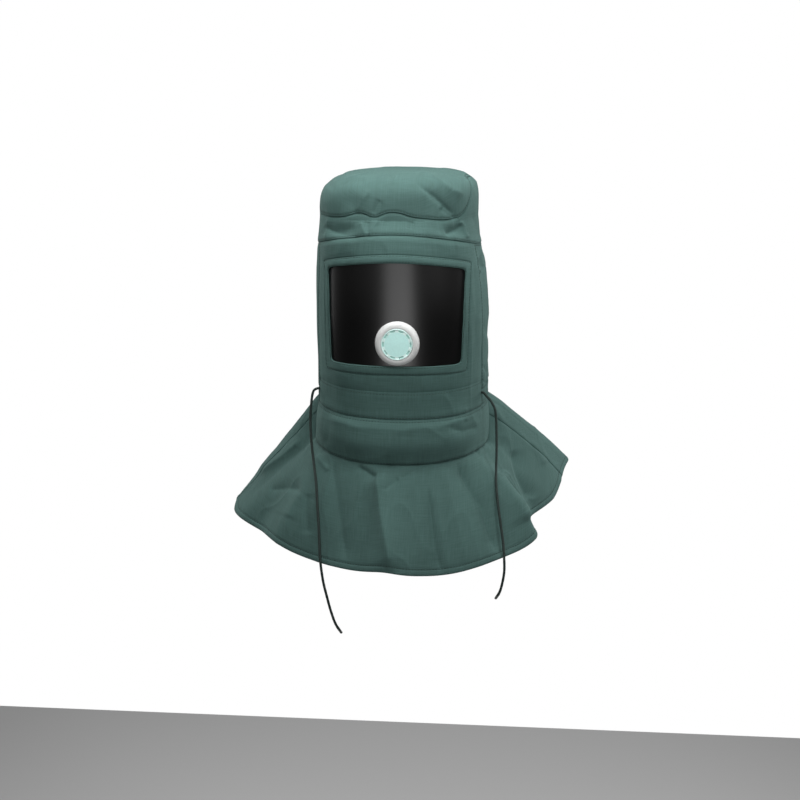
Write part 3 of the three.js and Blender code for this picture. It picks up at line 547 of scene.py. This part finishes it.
class Cloth:
    """A sewn piece: a dense grid of points on the outside, its normals, and distances from its borders.

    sewn names the borders that are seams: top, foot, start and end. laps gives borders that lie over (1) or
    under (-1) their neighbour, gather the reach and height of the gathers at a border, stitched the rows of
    stitches by border and distance, and deep the depth of a seam that shows more. ring closes the columns.
    """

    def __init__(
        self, name, surface, u, v, ring=False, sewn=("top", "foot", "start", "end"), wall=None, rough=1.0,
        laps=(), gather=(), hem=False, step=0.02, stitched=(), deep=(),
    ):
        self.name = "shell_" + name
        self.ring = ring
        self.stitched = stitched
        base = surface(u, v)
        out = normal_of(surface, u, v, 0.5, step)
        self.down = down = grid_arcs(base, 0)
        self.across = across = grid_arcs(base, 1)
        up = down[-1:] - down
        self.edges = edges = {"top": down, "foot": up, "start": across, "end": across[:, -1:] - across}
        high = drape(base, out, rough) if rough else np.zeros(base.shape[:2])
        seams = [side for side in sewn if not (ring and side in ("start", "end"))]
        near = np.full(base.shape[:2], np.inf)
        for side in seams:
            near = np.minimum(near, edges[side])
        pucker = noise(base * np.array([1, 1, 0.3]), PUCKER_LENGTH, 17)
        high = high * (0.6 + 0.4 * smooth(near / CALM_REACH))
        high = high + rough * SEAM_PUCKER * pucker * bell(near, PUCKER_REACH)
        high = high + SEAM_FULL * bell(near - 5, 3.5)
        for side, over in laps:
            high = high + over * LAP * bell(edges[side], LAP_REACH)
        for side, reach, tall in gather:
            high = high + tall * round_noise(base, *GATHER) * bell(edges[side], reach)
        for side, distance in stitched:
            high = high - STITCH_SINK * bell(edges[side] - distance, 0.9)
        turned = SEAM_DEEP * bell(near, SEAM_WIDE)
        for side, depth in deep:
            turned = np.maximum(turned, depth * bell(edges[side], 0.6 * SEAM_WIDE))
        if hem:
            turned = turned * smooth(up / SEAM_END) + HEM_TURN * bell(up, 0.8)
            high = high - HEM_GROOVE * bell(up - HEM_STITCH, 1.3) + HEM_FULL * bell(up - HEM_HEIGHT / 2, 3)
        moved = base.copy()
        inset = {side: -UNDER if over < 0 else GAP for side, over in laps}
        rows = slice(None)
        for side, edge, inner in (
            ("top", 0, 1), ("foot", -1, -2), ("start", (rows, 0), (rows, 1)), ("end", (rows, -1), (rows, -2)),
        ):
            if side in seams:
                moved[edge] += unit(base[inner] - base[edge]) * inset.get(side, GAP)
        thick = WALL if wall is None else wall(up)
        for side, over in laps:
            thick = thick + (THIN - thick) * bell(edges[side], THIN_REACH)
        self.outside = moved + out * (high - turned)[..., None]
        lining = np.minimum(high - thick, high - turned - 0.6)
        self.inside = moved + out * lining[..., None]
        self.normals = self.grid_normals()
        self.uv = self.threads(base, surface is cape_point)

    def threads(self, base, fan):
        """Places on the flat cloth: along its threads, in metres."""
        if fan:
            middle = self.across.shape[1] // 2
            return np.stack([self.across - self.across[:, [middle]], -self.down], -1) * MM
        if self.name == "shell_crown_top":
            return np.stack([base[..., 0], base[..., 1] - base[..., 2]], -1) * MM
        return np.stack([girth(base), base[..., 2]], -1) * MM

    def grid_normals(self):
        p = self.outside
        across = np.roll(p, -1, 1) - np.roll(p, 1, 1) if self.ring else np.gradient(p, axis=1)
        return unit(np.cross(np.gradient(p, axis=0), across))

    def line(self, side, distance):
        """The line on the outside at that distance from one border, with its normals."""
        arcs, points, normals = self.edges[side], self.outside, self.normals
        if side in ("start", "end"):
            arcs, points, normals = arcs.T, points.transpose(1, 0, 2), normals.transpose(1, 0, 2)
        if side in ("foot", "end"):
            arcs, points, normals = arcs[::-1], points[::-1], normals[::-1]
        row = np.clip(np.argmax(arcs >= distance, axis=0), 1, len(arcs) - 1)
        column = np.arange(arcs.shape[1])
        low, high = arcs[row - 1, column], arcs[row, column]
        t = np.clip((distance - low) / np.maximum(high - low, 1e-6), 0, 1)[:, None]
        reach = arcs.max(0) > distance * 1.6
        where = lerp(points[row - 1, column], points[row, column], t)
        out = unit(lerp(normals[row - 1, column], normals[row, column], t))
        if self.ring and side in ("top", "foot"):
            where, out, reach = (np.concatenate([x, x[:1]]) for x in (where, out, reach))
        return where[reach], out[reach]

    def build(self, cap=False):
        rows, columns = self.outside.shape[:2]
        points = np.concatenate([self.outside.reshape(-1, 3), self.inside.reshape(-1, 3)])
        uvs = np.concatenate([self.uv.reshape(-1, 2)] * 2)
        index = np.arange(rows * columns).reshape(rows, columns)
        shift = rows * columns
        rim = [np.stack([row, row + shift]) for row in (index[0], index[-1], index[:, 0], index[:, -1])]
        faces = [quads(index, self.ring), quads(index, self.ring, flip=True) + shift]
        if not cap:
            faces.append(quads(rim[0], self.ring, flip=True))
        faces.append(quads(rim[1], self.ring))
        if not self.ring:
            faces += [quads(rim[2]), quads(rim[3], flip=True)]
        faces = np.concatenate(faces).tolist()
        if cap:
            points = np.concatenate([points, [self.outside[0].mean(0)], [self.inside[0].mean(0)]])
            uvs = np.concatenate([uvs, [uvs[0], uvs[0]]])
            top, under = len(points) - 2, len(points) - 1
            faces += [(top, c, (c + 1) % columns) for c in range(columns)]
            faces += [(under, shift + (c + 1) % columns, shift + c) for c in range(columns)]
        return add_mesh(self.name, points, faces, uvs)


def stitches(name, lines):
    """Rows of thread along lines of points and normals, each stitch a small rounded bar."""
    sides = 6
    rings = np.array([[-0.5, 0.25], [-0.38, 0.8], [0, 1.0], [0.38, 0.8], [0.5, 0.25]])
    angles = np.arange(sides) * 2 * math.pi / sides
    points, faces = [], []
    base = 0
    for where, out in lines:
        arc = grid_arcs(where, 0)
        count = int(arc[-1] // (STITCH_LENGTH + STITCH_SPACE))
        if count < 1:
            continue
        middles = (np.arange(count) + 0.5) * arc[-1] / count
        at = lambda s: np.stack([np.interp(s, arc, where[:, k]) for k in range(3)], -1)
        normal = unit(np.stack([np.interp(middles, arc, out[:, k]) for k in range(3)], -1))
        ahead, behind = at(middles + STITCH_LENGTH / 2), at(middles - STITCH_LENGTH / 2)
        along = unit(ahead - behind)
        side = unit(np.cross(along, normal))
        centre = at(middles)
        for share, wide in rings:
            lift = STITCH_RADIUS * (0.5 + 0.3 * wide - 0.9 * abs(share))
            spine = centre + along * (share * STITCH_LENGTH) + normal * lift
            ring = np.multiply.outer(np.cos(angles), side) + np.multiply.outer(np.sin(angles), normal)
            points.append((spine[:, None] + STITCH_RADIUS * wide * ring.transpose(1, 0, 2)).reshape(-1, 3))
        index = base + np.arange(len(rings) * count * sides).reshape(len(rings), count, sides)
        for k in range(count):
            faces += [*quads(index[:, k], ring=True, flip=True), index[0, k, ::-1], index[-1, k]]
        base += index.size
    place(add_mesh(name, np.concatenate(points), faces), THREAD_WITH_PAINTED_SHADE, "canvas")


def lathe(profile, segments=96):
    """A closed shape turned round +Y from points of radius and height."""
    profile = np.array(profile, float)
    angles = np.arange(segments) * 2 * math.pi / segments
    reach, height = profile[:, :1], np.repeat(profile[:, 1:], segments, 1)
    points = np.stack([reach * np.sin(angles), height, reach * np.cos(angles)], -1).reshape(-1, 3)
    index = np.arange(len(points)).reshape(height.shape)
    return points, quads(np.vstack([index, index[:1]]), ring=True, flip=True)


# Materials


def make_material(name):
    mat = bpy.data.materials.new(name)
    mat.use_nodes = True
    return mat, mat.node_tree.nodes, mat.node_tree.links, mat.node_tree.nodes["Principled BSDF"]


def noise_node(nodes, links, vector, scale, detail):
    node = nodes.new("ShaderNodeTexNoise")
    node.inputs["Scale"].default_value = scale
    node.inputs["Detail"].default_value = detail
    links.new(vector, node.inputs["Vector"])
    return node.outputs["Fac"]


def dress(nodes, links, shader, share, colours, stops, height, bump, deep):
    """The shader's colour between two ends by a share, and its relief by a height."""
    ramp = nodes.new("ShaderNodeValToRGB")
    for k in (0, 1):
        ramp.color_ramp.elements[k].position = stops[k]
        ramp.color_ramp.elements[k].color = (*colours[k], 1)
    links.new(share, ramp.inputs["Fac"])
    links.new(ramp.outputs["Color"], shader.inputs["Base Color"])
    relief = nodes.new("ShaderNodeBump")
    relief.inputs["Strength"].default_value = bump
    relief.inputs["Distance"].default_value = deep * MM
    links.new(height, relief.inputs["Height"])
    links.new(relief.outputs["Normal"], shader.inputs["Normal"])


def canvas(name, tone):
    """Woven cotton: crossed threads from the cloth's own coordinates, in a worn, slightly mottled colour."""
    mat, nodes, links, shader = make_material(name)
    shader.inputs["Roughness"].default_value = 0.88
    shader.inputs["Specular IOR Level"].default_value = 0.12
    shader.inputs["Sheen Weight"].default_value = 0.06
    shader.inputs["Sheen Roughness"].default_value = 0.4
    shader.inputs["Sheen Tint"].default_value = (0.55, 0.95, 0.85, 1)

    def work(kind, *values, clamp=False):
        node = nodes.new("ShaderNodeMath")
        node.operation = kind
        node.use_clamp = clamp
        for value, socket in zip(values, node.inputs):
            if isinstance(value, (int, float)):
                socket.default_value = value
            else:
                links.new(value, socket)
        return node.outputs[0]

    coordinate = nodes.new("ShaderNodeTexCoord")
    split = nodes.new("ShaderNodeSeparateXYZ")
    links.new(coordinate.outputs["UV"], split.inputs[0])
    turns = 2 * math.pi / (WEAVE * MM)
    threads = work("MULTIPLY", *(work("SINE", work("MULTIPLY", split.outputs[k], turns)) for k in (0, 1)))
    yarns = []
    for stretch in ((1, YARN_STRETCH, 1), (YARN_STRETCH, 1, 1)):
        along = nodes.new("ShaderNodeVectorMath")
        along.operation = "MULTIPLY"
        along.inputs[1].default_value = stretch
        links.new(coordinate.outputs["UV"], along.inputs[0])
        yarns.append(noise_node(nodes, links, along.outputs[0], 850, 2))
    slub = work("ADD", *yarns)
    cloud = noise_node(nodes, links, coordinate.outputs["Object"], 14, 4)
    grain = work("MULTIPLY", work("SUBTRACT", slub, 1.0), 0.5)
    mottle = work("MULTIPLY", work("SUBTRACT", cloud, 0.5), 0.35)
    share = work("ADD", work("ADD", work("MULTIPLY", threads, 0.06), grain), mottle)
    height = work("ADD", threads, work("MULTIPLY", slub, 1.2))
    ends = [[x * 0.6 for x in tone], [x * 1.4 for x in tone]]
    dress(nodes, links, shader, work("ADD", share, 0.5, clamp=True), ends, (0, 1), height, 0.35, 0.12)
    return mat


def plastic(name, colour, roughness, speckle=0.04, bump=0.15, scale=300, specular=0.4):
    mat, nodes, links, shader = make_material(name)
    shader.inputs["Roughness"].default_value = roughness
    shader.inputs["Specular IOR Level"].default_value = specular
    grain = noise_node(nodes, links, nodes.new("ShaderNodeTexCoord").outputs["Object"], scale, 4)
    ends = [[x * (1 - speckle) for x in colour], [min(x * (1 + speckle), 1) for x in colour]]
    dress(nodes, links, shader, grain, ends, (0.3, 0.7), grain, bump, 0.05)
    return mat


WEAVE = 1.05  # from one thread to the next, in millimetres
YARN_STRETCH = 0.045  # how much slower a yarn changes along itself
CANVAS = canvas("canvas", (0.059, 0.112, 0.1025))
# thread: its dark colour is partly the thread's own and partly painted shade of the seams' grooves
THREAD_WITH_PAINTED_SHADE = plastic("thread", (0.012, 0.028, 0.025), 0.8, 0.15, 0.4, 900)
# the pane's near-black colour is painted shade of the hood's dark inside behind clear plastic; its highlight
# comes from the lamps
PANE = plastic("pane_painted_dark_inside", (0.0006, 0.0006, 0.0007), 0.29, 0.1, 0.02, 60, specular=0.8)
WHITE = plastic("valve_white", (0.66, 0.67, 0.66), 0.55, 0.02)
MINT = plastic("valve_mint", (0.58, 0.92, 0.87), 0.4, 0.03)
RIM = plastic("valve_rim", (0.75, 0.97, 0.93), 0.35, 0.02)
# darker mint in the slots: painted shade of the recesses
SLOT = plastic("valve_slot_painted_shade", (0.42, 0.72, 0.66), 0.5, 0.03)
CORD = plastic("cord_braid", (0.02, 0.031, 0.028), 0.75, 0.35, 0.5, 1400, specular=0.2)
TIP = plastic("cord_tip", (0.09, 0.1, 0.095), 0.35, 0.2, 0.2, 500)


def place(obj, material, slot, *nodes):
    obj.data.materials.append(material)
    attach(obj, "root")
    if nodes:
        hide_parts(*nodes)
    return obj


# Cords


def catmull(points, count=24):
    """A smooth line through the points, as in the part's source."""
    p = np.array(points, float)
    p = np.vstack([2 * p[0] - p[1], p, 2 * p[-1] - p[-2]])
    line = []
    for a, b, c, d in zip(p, p[1:], p[2:], p[3:]):
        t1 = np.linalg.norm(b - a) ** 0.5
        t2 = t1 + np.linalg.norm(c - b) ** 0.5
        t3 = t2 + np.linalg.norm(d - c) ** 0.5
        for t in np.linspace(t1, t2, count, endpoint=False):
            middle = lerp(b, c, (t - t1) / (t2 - t1))
            before = lerp(lerp(a, b, t / t1), middle, t / t2)
            after = lerp(middle, lerp(c, d, (t - t2) / (t3 - t2)), (t - t1) / (t3 - t1))
            line.append(lerp(before, after, (t - t1) / (t2 - t1)))
    line.append(p[-2])
    return np.array(line)


BRAID_TURN = 9.5
TIP_LENGTH = 7


def make_cord(side):
    line = catmull(CORDS[side])
    arc = grid_arcs(line, 0)
    length = arc[-1]
    step = 0.55
    sides = 20
    at = np.linspace(0, length, int(length / step))
    spine = np.stack([np.interp(at, arc, line[:, k]) for k in range(3)], -1)
    along = unit(np.gradient(spine, axis=0))
    across = unit(np.cross(along[0], [0.3, 1, 0.2]))
    rings, tips = [], []
    angles = np.arange(sides) * 2 * math.pi / sides
    radius = CORD_DIAMETER / 2
    for s, p, d in zip(at, spine, along):
        across = unit(across - d * (across @ d))
        other = np.cross(d, across)
        left = length - s
        turn = s * 2 * math.pi / BRAID_TURN
        braid = np.abs(np.sin(4 * angles + turn * 4)) * np.abs(np.sin(4 * angles - turn * 4))
        tip = smooth((TIP_LENGTH - left) / 1.5)
        flare = 1 + 0.1 * bell(left - TIP_LENGTH - 2, 4)
        r = radius * (0.86 + 0.14 * lerp(braid, 0.7, tip)) * flare
        r = r * np.sqrt(np.clip(1 - (1 - np.clip(left / 1.8, 0, 1)) ** 2, 0.02, 1))
        rings.append(p + np.outer(np.cos(angles) * r, across) + np.outer(np.sin(angles) * r, other))
        tips.append(left < TIP_LENGTH - 0.5)
    points = np.concatenate(rings)
    index = np.arange(len(points)).reshape(-1, sides)
    obj = add_mesh("cord_" + side, points, [*quads(index, ring=True, flip=True), index[0, ::-1], index[-1]])
    place(obj, CORD, "cord", "drawcord_" + side)
    obj.data.materials.append(TIP)
    marks = np.concatenate([np.repeat(tips[:-1], sides), [0, 1]]).astype(int)
    obj.data.polygons.foreach_set("material_index", marks)


# Pieces of cloth


cloths = {}


def sew(name, *grid, **options):
    cloths[name] = Cloth(name, *grid, **options)


def rows_between(count, ease=0.35):
    """Shares from 0 to 1 that lie closer near both ends, for the turned edges at the seams."""
    t = np.linspace(0, 1, count)
    return lerp(t, smooth(t), ease)


def panel(name, start, end, top, foot, rows, per_degree=1.6, ease=0.35, **options):
    ring = end - start >= FULL_TURN
    columns = int((end - start) * per_degree)
    share = np.linspace(0, 1, columns + 1)[:-1] if ring else rows_between(columns + 1, 0.1)
    degrees = lerp(start, end, share)[None, :]
    v = rows_between(rows, ease)[:, None]
    levels = lerp(top(degrees), foot(degrees), v)
    sew(name, hood_point, np.broadcast_to(degrees, levels.shape), levels, ring=ring, **options)


def level(name):
    return lambda degrees: np.full(np.shape(degrees), float(level_of(name)))


def angle_at(x, at_level):
    low, high = np.full(np.shape(x), -float(SIDE_SEAM)), np.full(np.shape(x), float(SIDE_SEAM))
    for _ in range(30):
        mid = (low + high) / 2
        left = hood_point(mid, at_level)[..., 0] < x
        low, high = np.where(left, mid, low), np.where(left, high, mid)
    return (low + high) / 2


TOP_STEPS = 110
SIDE_STEPS = 64


def loop_sides():
    """How far across and down each step round a loop lies, as shares from 0 to 1."""
    counts = (TOP_STEPS, SIDE_STEPS) * 2
    side = np.repeat([0, 1, 2, 3], counts)
    share = np.concatenate([np.arange(n) / n for n in counts])
    across = np.choose(side, [share, 1 + 0 * share, 1 - share, 0 * share])
    down = np.choose(side, [0 * share, share, 1 + 0 * share, 1 - share])
    return across, down


def window_loop(margin, top, foot, corner=WINDOW_CORNER):
    across, down = loop_sides()
    u, v = across * 2 - 1, down * 2 - 1
    fit = (np.abs(u) ** (2 / corner) + np.abs(v) ** (2 / corner)) ** (-corner / 2)
    u, v = u * fit, v * fit
    share = (v + 1) / 2
    at = lerp(top, foot, share)
    half = (lerp(WINDOW_TOP, WINDOW_BOTTOM, share) + 2 * margin) / 2
    return angle_at(WINDOW_SHIFT + u * half, at), at


def face_loop():
    across, down = loop_sides()
    return lerp(-SIDE_SEAM, SIDE_SEAM, across), lerp(level_of("bandSeam"), level_of("chinSeam"), down)


def loop_cloth(name, outer, inner, rows, **options):
    t = rows_between(rows)[:, None]
    u = lerp(outer[0][None], inner[0][None], t)
    v = lerp(outer[1][None], inner[1][None], t)
    sew(name, hood_point, u, v, ring=True, **options)


make_camera()
for side in CORDS:
    make_cord(side)

panel(
    "crown_top", 0, FULL_TURN, lambda d: np.full(np.shape(d), POLE), crown_seam, 72, ease=0.9, sewn=("foot",),
    rough=0.6, step=0.01, stitched=[("foot", DOUBLE_ROW)], deep=[("foot", CROWN_SEAM_DEEP)],
)
panel(
    "crown_band", 0, FULL_TURN, crown_seam, level("bandSeam"), 44, laps=[("foot", 0.7), ("top", -0.1)],
    # the row at the top is dark thread deep in the crown's seam, painted shade of the seam's groove as well
    # as thread
    stitched=[("foot", TOPSTITCH), ("top", SEAM_SHADE_THREAD)], deep=[("top", CROWN_SEAM_DEEP)],
)
opening = window_loop(0, level_of("windowTop"), level_of("windowFoot"))
facing_edge = window_loop(FACING_SIDE, level_of("facingTop"), level_of("facingFoot"))
loop_cloth(
    "face_panel", face_loop(), facing_edge, 34, laps=[("top", -1.2), ("foot", -0.5)], rough=0.6,
)
loop_cloth(
    "window_facing", facing_edge, opening, 16, laps=[("top", 0.6)], rough=0.3,
    stitched=[("top", 1.5), ("foot", 1.8)],
)
panel(
    "chin_band", -SIDE_SEAM, SIDE_SEAM, level("chinSeam"), level("doubleSeam"), 24,
    laps=[("top", -0.5), ("foot", 0.7)], rough=0.6, stitched=[("top", TOPSTITCH), ("foot", TOPSTITCH)],
)
panel(
    "collar", -COLLAR_END, COLLAR_END, level("doubleSeam"), cape_seam, 40,
    laps=[("top", -0.7), ("foot", 0.5)], rough=0.8, gather=[("top", 14, 0.5), ("foot", 12, 0.6)],
    stitched=[("top", DOUBLE_ROW), ("foot", TOPSTITCH)],
)
back_from, back_to = SIDE_SEAM, FULL_TURN - SIDE_SEAM
panel(
    "hood_back", back_from, back_to, level("bandSeam"), level("casingTop"), 100, 1.3,
    laps=[("top", -0.6), ("foot", 0.4), ("start", -0.5), ("end", -0.5)],
    rough=1.5, gather=[("foot", 55, 2.2)],
    stitched=[(side, TOPSTITCH) for side in ("top", "start", "end", "foot")],
)
panel(
    "neck_casing", back_from, back_to, level("casingTop"), level("doubleSeam"), 24, laps=[("top", -0.4)],
    rough=0.8, gather=[("top", 40, 2.2)], stitched=[("foot", TOPSTITCH), ("foot", SECOND_ROW)],
)


def hem_wall(up):
    return WALL + HEM_EXTRA * (1 - smooth((up - HEM_HEIGHT + 1.5) / 2))


def cape(node, start, end, lap):
    columns = int((end - start) * 2.2)
    u = lerp(start, end, rows_between(columns + 1, 0.1))
    u, v = np.broadcast_arrays(u, rows_between(96, 0.2)[:, None])
    sew(
        node, cape_point, u, v, sewn=("top", "start", "end"), wall=hem_wall, rough=0.8, hem=True,
        laps=[("top", -1), ("start", lap), ("end", lap)], gather=[("top", 30, 1.4)],
        stitched=[("foot", HEM_STITCH)],
    )


cape("cape_front", -SHOULDER_SEAM, SHOULDER_SEAM, -0.3)
cape("cape_back", SHOULDER_SEAM, FULL_TURN - SHOULDER_SEAM, 0.4)

for node, cloth in cloths.items():
    place(cloth.build(cap=node == "crown_top"), CANVAS, "canvas", node)

for node, cloth in cloths.items():
    if cloth.stitched:
        stitches("thread_" + node, [cloth.line(*row) for row in cloth.stitched])

# Window pane and valve


def valve_frame():
    foot = float(level_of("windowFoot"))
    height = hood_point(0, foot)[2] + VALVE_RISE
    low, high = float(level_of("windowTop")), foot
    for _ in range(40):
        mid = (low + high) / 2
        if hood_point(angle_at(np.array(float(VALVE_SHIFT)), mid), mid)[2] > height:
            low = mid
        else:
            high = mid
    at = angle_at(np.array(float(VALVE_SHIFT)), low)
    out = normal_of(hood_point, at, np.array(low)).copy()
    out[0] = 0
    out = unit(out)
    return hood_point(at, low) - out * (WALL + PANE_GAP + FLAT_SINK), out


VALVE_SEAT, VALVE_OUT = valve_frame()


def pane_point(degrees, at_level):
    p = hood_point(degrees, at_level) - normal_of(hood_point, degrees, at_level) * (WALL + PANE_GAP)
    away = p - VALVE_SEAT
    height = away @ VALVE_OUT
    distance = np.sqrt(np.maximum(np.sum(away * away, -1) - height * height, 0))
    flat = 1 - smooth((distance - VALVE_DIAMETER / 2 + FLAT_BLEND) / FLAT_BLEND)
    return p - VALVE_OUT * (height * flat)[..., None]


def make_pane():
    across, down = np.meshgrid(np.linspace(0, 1, 121), np.linspace(0, 1, 81))
    top, foot = level_of("windowTop") - 0.6, level_of("windowFoot") + 0.6
    levels = lerp(top, foot, down)
    half = (lerp(WINDOW_TOP, WINDOW_BOTTOM, down) + 2 * PANE_LAP) / 2
    u = angle_at(WINDOW_SHIFT + (across * 2 - 1) * half, levels)
    sheet = Cloth(
        "window_pane", pane_point, u, levels, sewn=(), wall=lambda up: PANE_THICK, rough=0,
    )
    return place(sheet.build(), PANE, "pane", "window_pane")


def at_valve(points):
    """Turns points made round +Y into the valve's place."""
    turn = np.array(Vector((0, 1, 0)).rotation_difference(Vector(VALVE_OUT)).to_matrix())
    return np.asarray(points) @ turn.T + VALVE_SEAT


def arc(centre, radius, start, end, steps=6):
    angles = np.radians(np.linspace(start, end, steps))
    return [(centre[0] + radius * math.cos(a), centre[1] + radius * math.sin(a)) for a in angles]


LID_STEPS = 480
LID_DOME = 0.35
LID_RIM = 0.45
RING_ROUND = 0.8
RING_SIDE = 2.5
SEAT_ROUND = 0.7


def make_lid():
    """The cap: a fine polar grid whose slots and rim are pressed into it, closed below."""
    radius, base = CAP_DIAMETER / 2, VALVE_HEIGHT - CAP_THICK
    reach = np.concatenate([np.linspace(0.02, 14.5, 12), np.linspace(15, radius - 0.1, 30), [radius]])
    turn = np.linspace(0, 2 * math.pi, LID_STEPS + 1)[:-1]
    r, t = np.meshgrid(reach, turn, indexing="ij")
    sector = 2 * math.pi / SLOT_COUNT
    off = (np.mod(t, sector) - sector / 2) * SLOT_RADIUS
    gap = np.hypot(np.maximum(np.abs(off) - (SLOT_LENGTH - SLOT_WIDTH) / 2, 0), r - SLOT_RADIUS)
    slot = 1 - smooth((gap - SLOT_WIDTH / 2) / 0.35 + 0.5)
    rim = smooth((r - radius + 1.7) / 0.7) * (1 - smooth((r - radius + 0.45) / 0.45))
    height = VALVE_HEIGHT + LID_DOME * bell(r, 9) + LID_RIM * rim - SLOT_DEPTH * slot
    height[-1] = VALVE_HEIGHT - 0.35
    top = np.stack([r * np.sin(t), height, r * np.cos(t)], -1)
    foot = np.stack([radius * np.sin(turn), 0 * turn + base, radius * np.cos(turn)], -1)
    points = np.concatenate([top.reshape(-1, 3), foot, [[0, height[0, 0], 0], [0, base, 0]]])
    rows, columns = top.shape[0] + 1, len(turn)
    index = np.arange(rows * columns).reshape(rows, columns)
    faces = quads(index, ring=True)
    centre, under = rows * columns, rows * columns + 1
    fans = [(centre, k, (k + 1) % columns) for k in range(columns)]
    fans += [(under, index[-1, (k + 1) % columns], index[-1, k]) for k in range(columns)]
    lid = add_mesh("valve_lid", at_valve(points), [*faces, *fans])
    lid.data.set_sharp_from_angle(angle=math.radians(40))
    place(lid, MINT, "valve_mint", "valve_cap")
    lid.data.materials.append(RIM)
    lid.data.materials.append(SLOT)
    marks = np.zeros(len(lid.data.polygons), int)
    flat = np.concatenate([slot.ravel(), np.zeros(columns + 2)])
    away = np.concatenate([r.ravel(), np.full(columns, radius), [0, 0]])
    # faces in the slots take the darker material, as painted shade; the outer ring takes the rim colour
    marks[: len(faces)] = np.where(
        flat[faces].mean(1) > 0.5, 2, np.where(away[faces].mean(1) > SLOT_RADIUS - SLOT_WIDTH * 0.7, 1, 0)
    )
    lid.data.polygons.foreach_set("material_index", marks)


def turned_ring(name, profile, node):
    points, faces = lathe(profile)
    place(add_mesh(name, at_valve(points), faces), WHITE, "valve_white", node)


def make_valve():
    outer, seat, bore = VALVE_DIAMETER / 2, CAP_DIAMETER / 2 + VALVE_GAP, NECK_DIAMETER / 2 - NECK_WALL
    foot = -PANE_THICK - VALVE_GAP - NUT_THICK - 1
    floor = VALVE_HEIGHT - CAP_THICK - VALVE_GAP
    profile = [(bore, foot), (NECK_DIAMETER / 2, foot), (NECK_DIAMETER / 2, VALVE_GAP)]
    profile += arc((outer - RING_ROUND, VALVE_GAP + RING_ROUND), RING_ROUND, -90, 0)
    round_in = outer - seat - 1.5
    for k in range(11):
        a = k / 10 * math.pi / 2
        rise = RING_SIDE + (VALVE_HEIGHT - RING_SIDE) * math.sin(a)
        profile.append((outer - round_in * (1 - math.cos(a)), rise))
    profile += arc((seat + SEAT_ROUND, VALVE_HEIGHT - SEAT_ROUND), SEAT_ROUND, 90, 180)
    profile += [(seat, floor), (bore, floor)]
    turned_ring("valve_ring", profile, "valve_body")

    make_lid()

    bore, front = NECK_DIAMETER / 2 + VALVE_GAP, -PANE_THICK - VALVE_GAP
    profile = [(bore, front - NUT_THICK)]
    profile += arc((NUT_DIAMETER / 2 - RING_ROUND, front - NUT_THICK + RING_ROUND), RING_ROUND, -90, 0)
    profile += [(NUT_DIAMETER / 2, front), (bore, front)]
    turned_ring("valve_ring_nut", profile, "valve_nut")


make_pane()
make_valve()

# Floor, light and background


def area_light(name, location, target, width, height, power):
    data = bpy.data.lights.new(name, "AREA")
    data.energy = power
    data.shape = "RECTANGLE"
    data.size = width
    data.size_y = height
    obj = add_object(name, data)
    obj.location = location
    obj.rotation_euler = (Vector(target) - Vector(location)).to_track_quat("-Z", "Y").to_euler()


FLOOR = 1600  # half of its side, and how far it lies below, in millimetres
LIGHTS = {  # place, target, width, height and power
    "top": ((-0.02, -0.22, 0.36), (0, -0.07, -0.05), 0.4, 0.4, 4),
    "front": ((-0.02, -2.3, -0.5), (0, 0, -0.35), 0.9, 2.1, 10.5),
    "upper": ((1.0, -0.8, 0.75), (0, 0, -0.2), 0.4, 0.4, 8),
    "wearer_left": ((1.2, 0.7, 0.1), (0, 0, -0.25), 0.6, 1.2, 16),
    "wearer_right": ((-1.2, 0.7, 0.1), (0, 0, -0.25), 0.6, 1.2, 12),
}


ROOM = {"From Min": 0, "From Max": 0.7, "To Min": 0.03, "To Max": 0.42}  # light by the height looked at


def make_world():
    """A white page behind the hood, and a room that is brighter above than below to light it."""
    world = bpy.data.worlds.new("studio")
    bpy.context.scene.world = world
    world.use_nodes = True
    nodes, links = world.node_tree.nodes, world.node_tree.links
    room = nodes["Background"]
    room.inputs["Color"].default_value = (1, 1, 1, 1)
    towards = nodes.new("ShaderNodeTexCoord")
    split = nodes.new("ShaderNodeSeparateXYZ")
    height = nodes.new("ShaderNodeMapRange")
    for name, value in ROOM.items():
        height.inputs[name].default_value = value
    links.new(towards.outputs["Generated"], split.inputs[0])
    links.new(split.outputs["Z"], height.inputs["Value"])
    links.new(height.outputs["Result"], room.inputs["Strength"])
    page = nodes.new("ShaderNodeBackground")
    page.inputs["Color"].default_value = (1, 1, 1, 1)
    page.inputs["Strength"].default_value = 1.0
    seen = nodes.new("ShaderNodeLightPath")
    mix = nodes.new("ShaderNodeMixShader")
    links.new(seen.outputs["Is Camera Ray"], mix.inputs["Fac"])
    links.new(room.outputs[0], mix.inputs[1])
    links.new(page.outputs[0], mix.inputs[2])
    links.new(mix.outputs[0], nodes["World Output"].inputs["Surface"])


def make_stage():
    corners = FLOOR * np.array([(-1, -1, -1), (1, -1, -1), (1, 1, -1), (-1, 1, -1)])
    floor = add_mesh("floor", corners, [(0, 1, 2, 3)])
    floor.data.materials.append(plastic("floor_pale", (0.5, 0.5, 0.5), 0.9, 0.0, 0.0, 2))
    make_world()
    for name, light in LIGHTS.items():
        area_light(name, *light)


make_stage()
bpy.context.scene.view_settings.view_transform = "Standard"
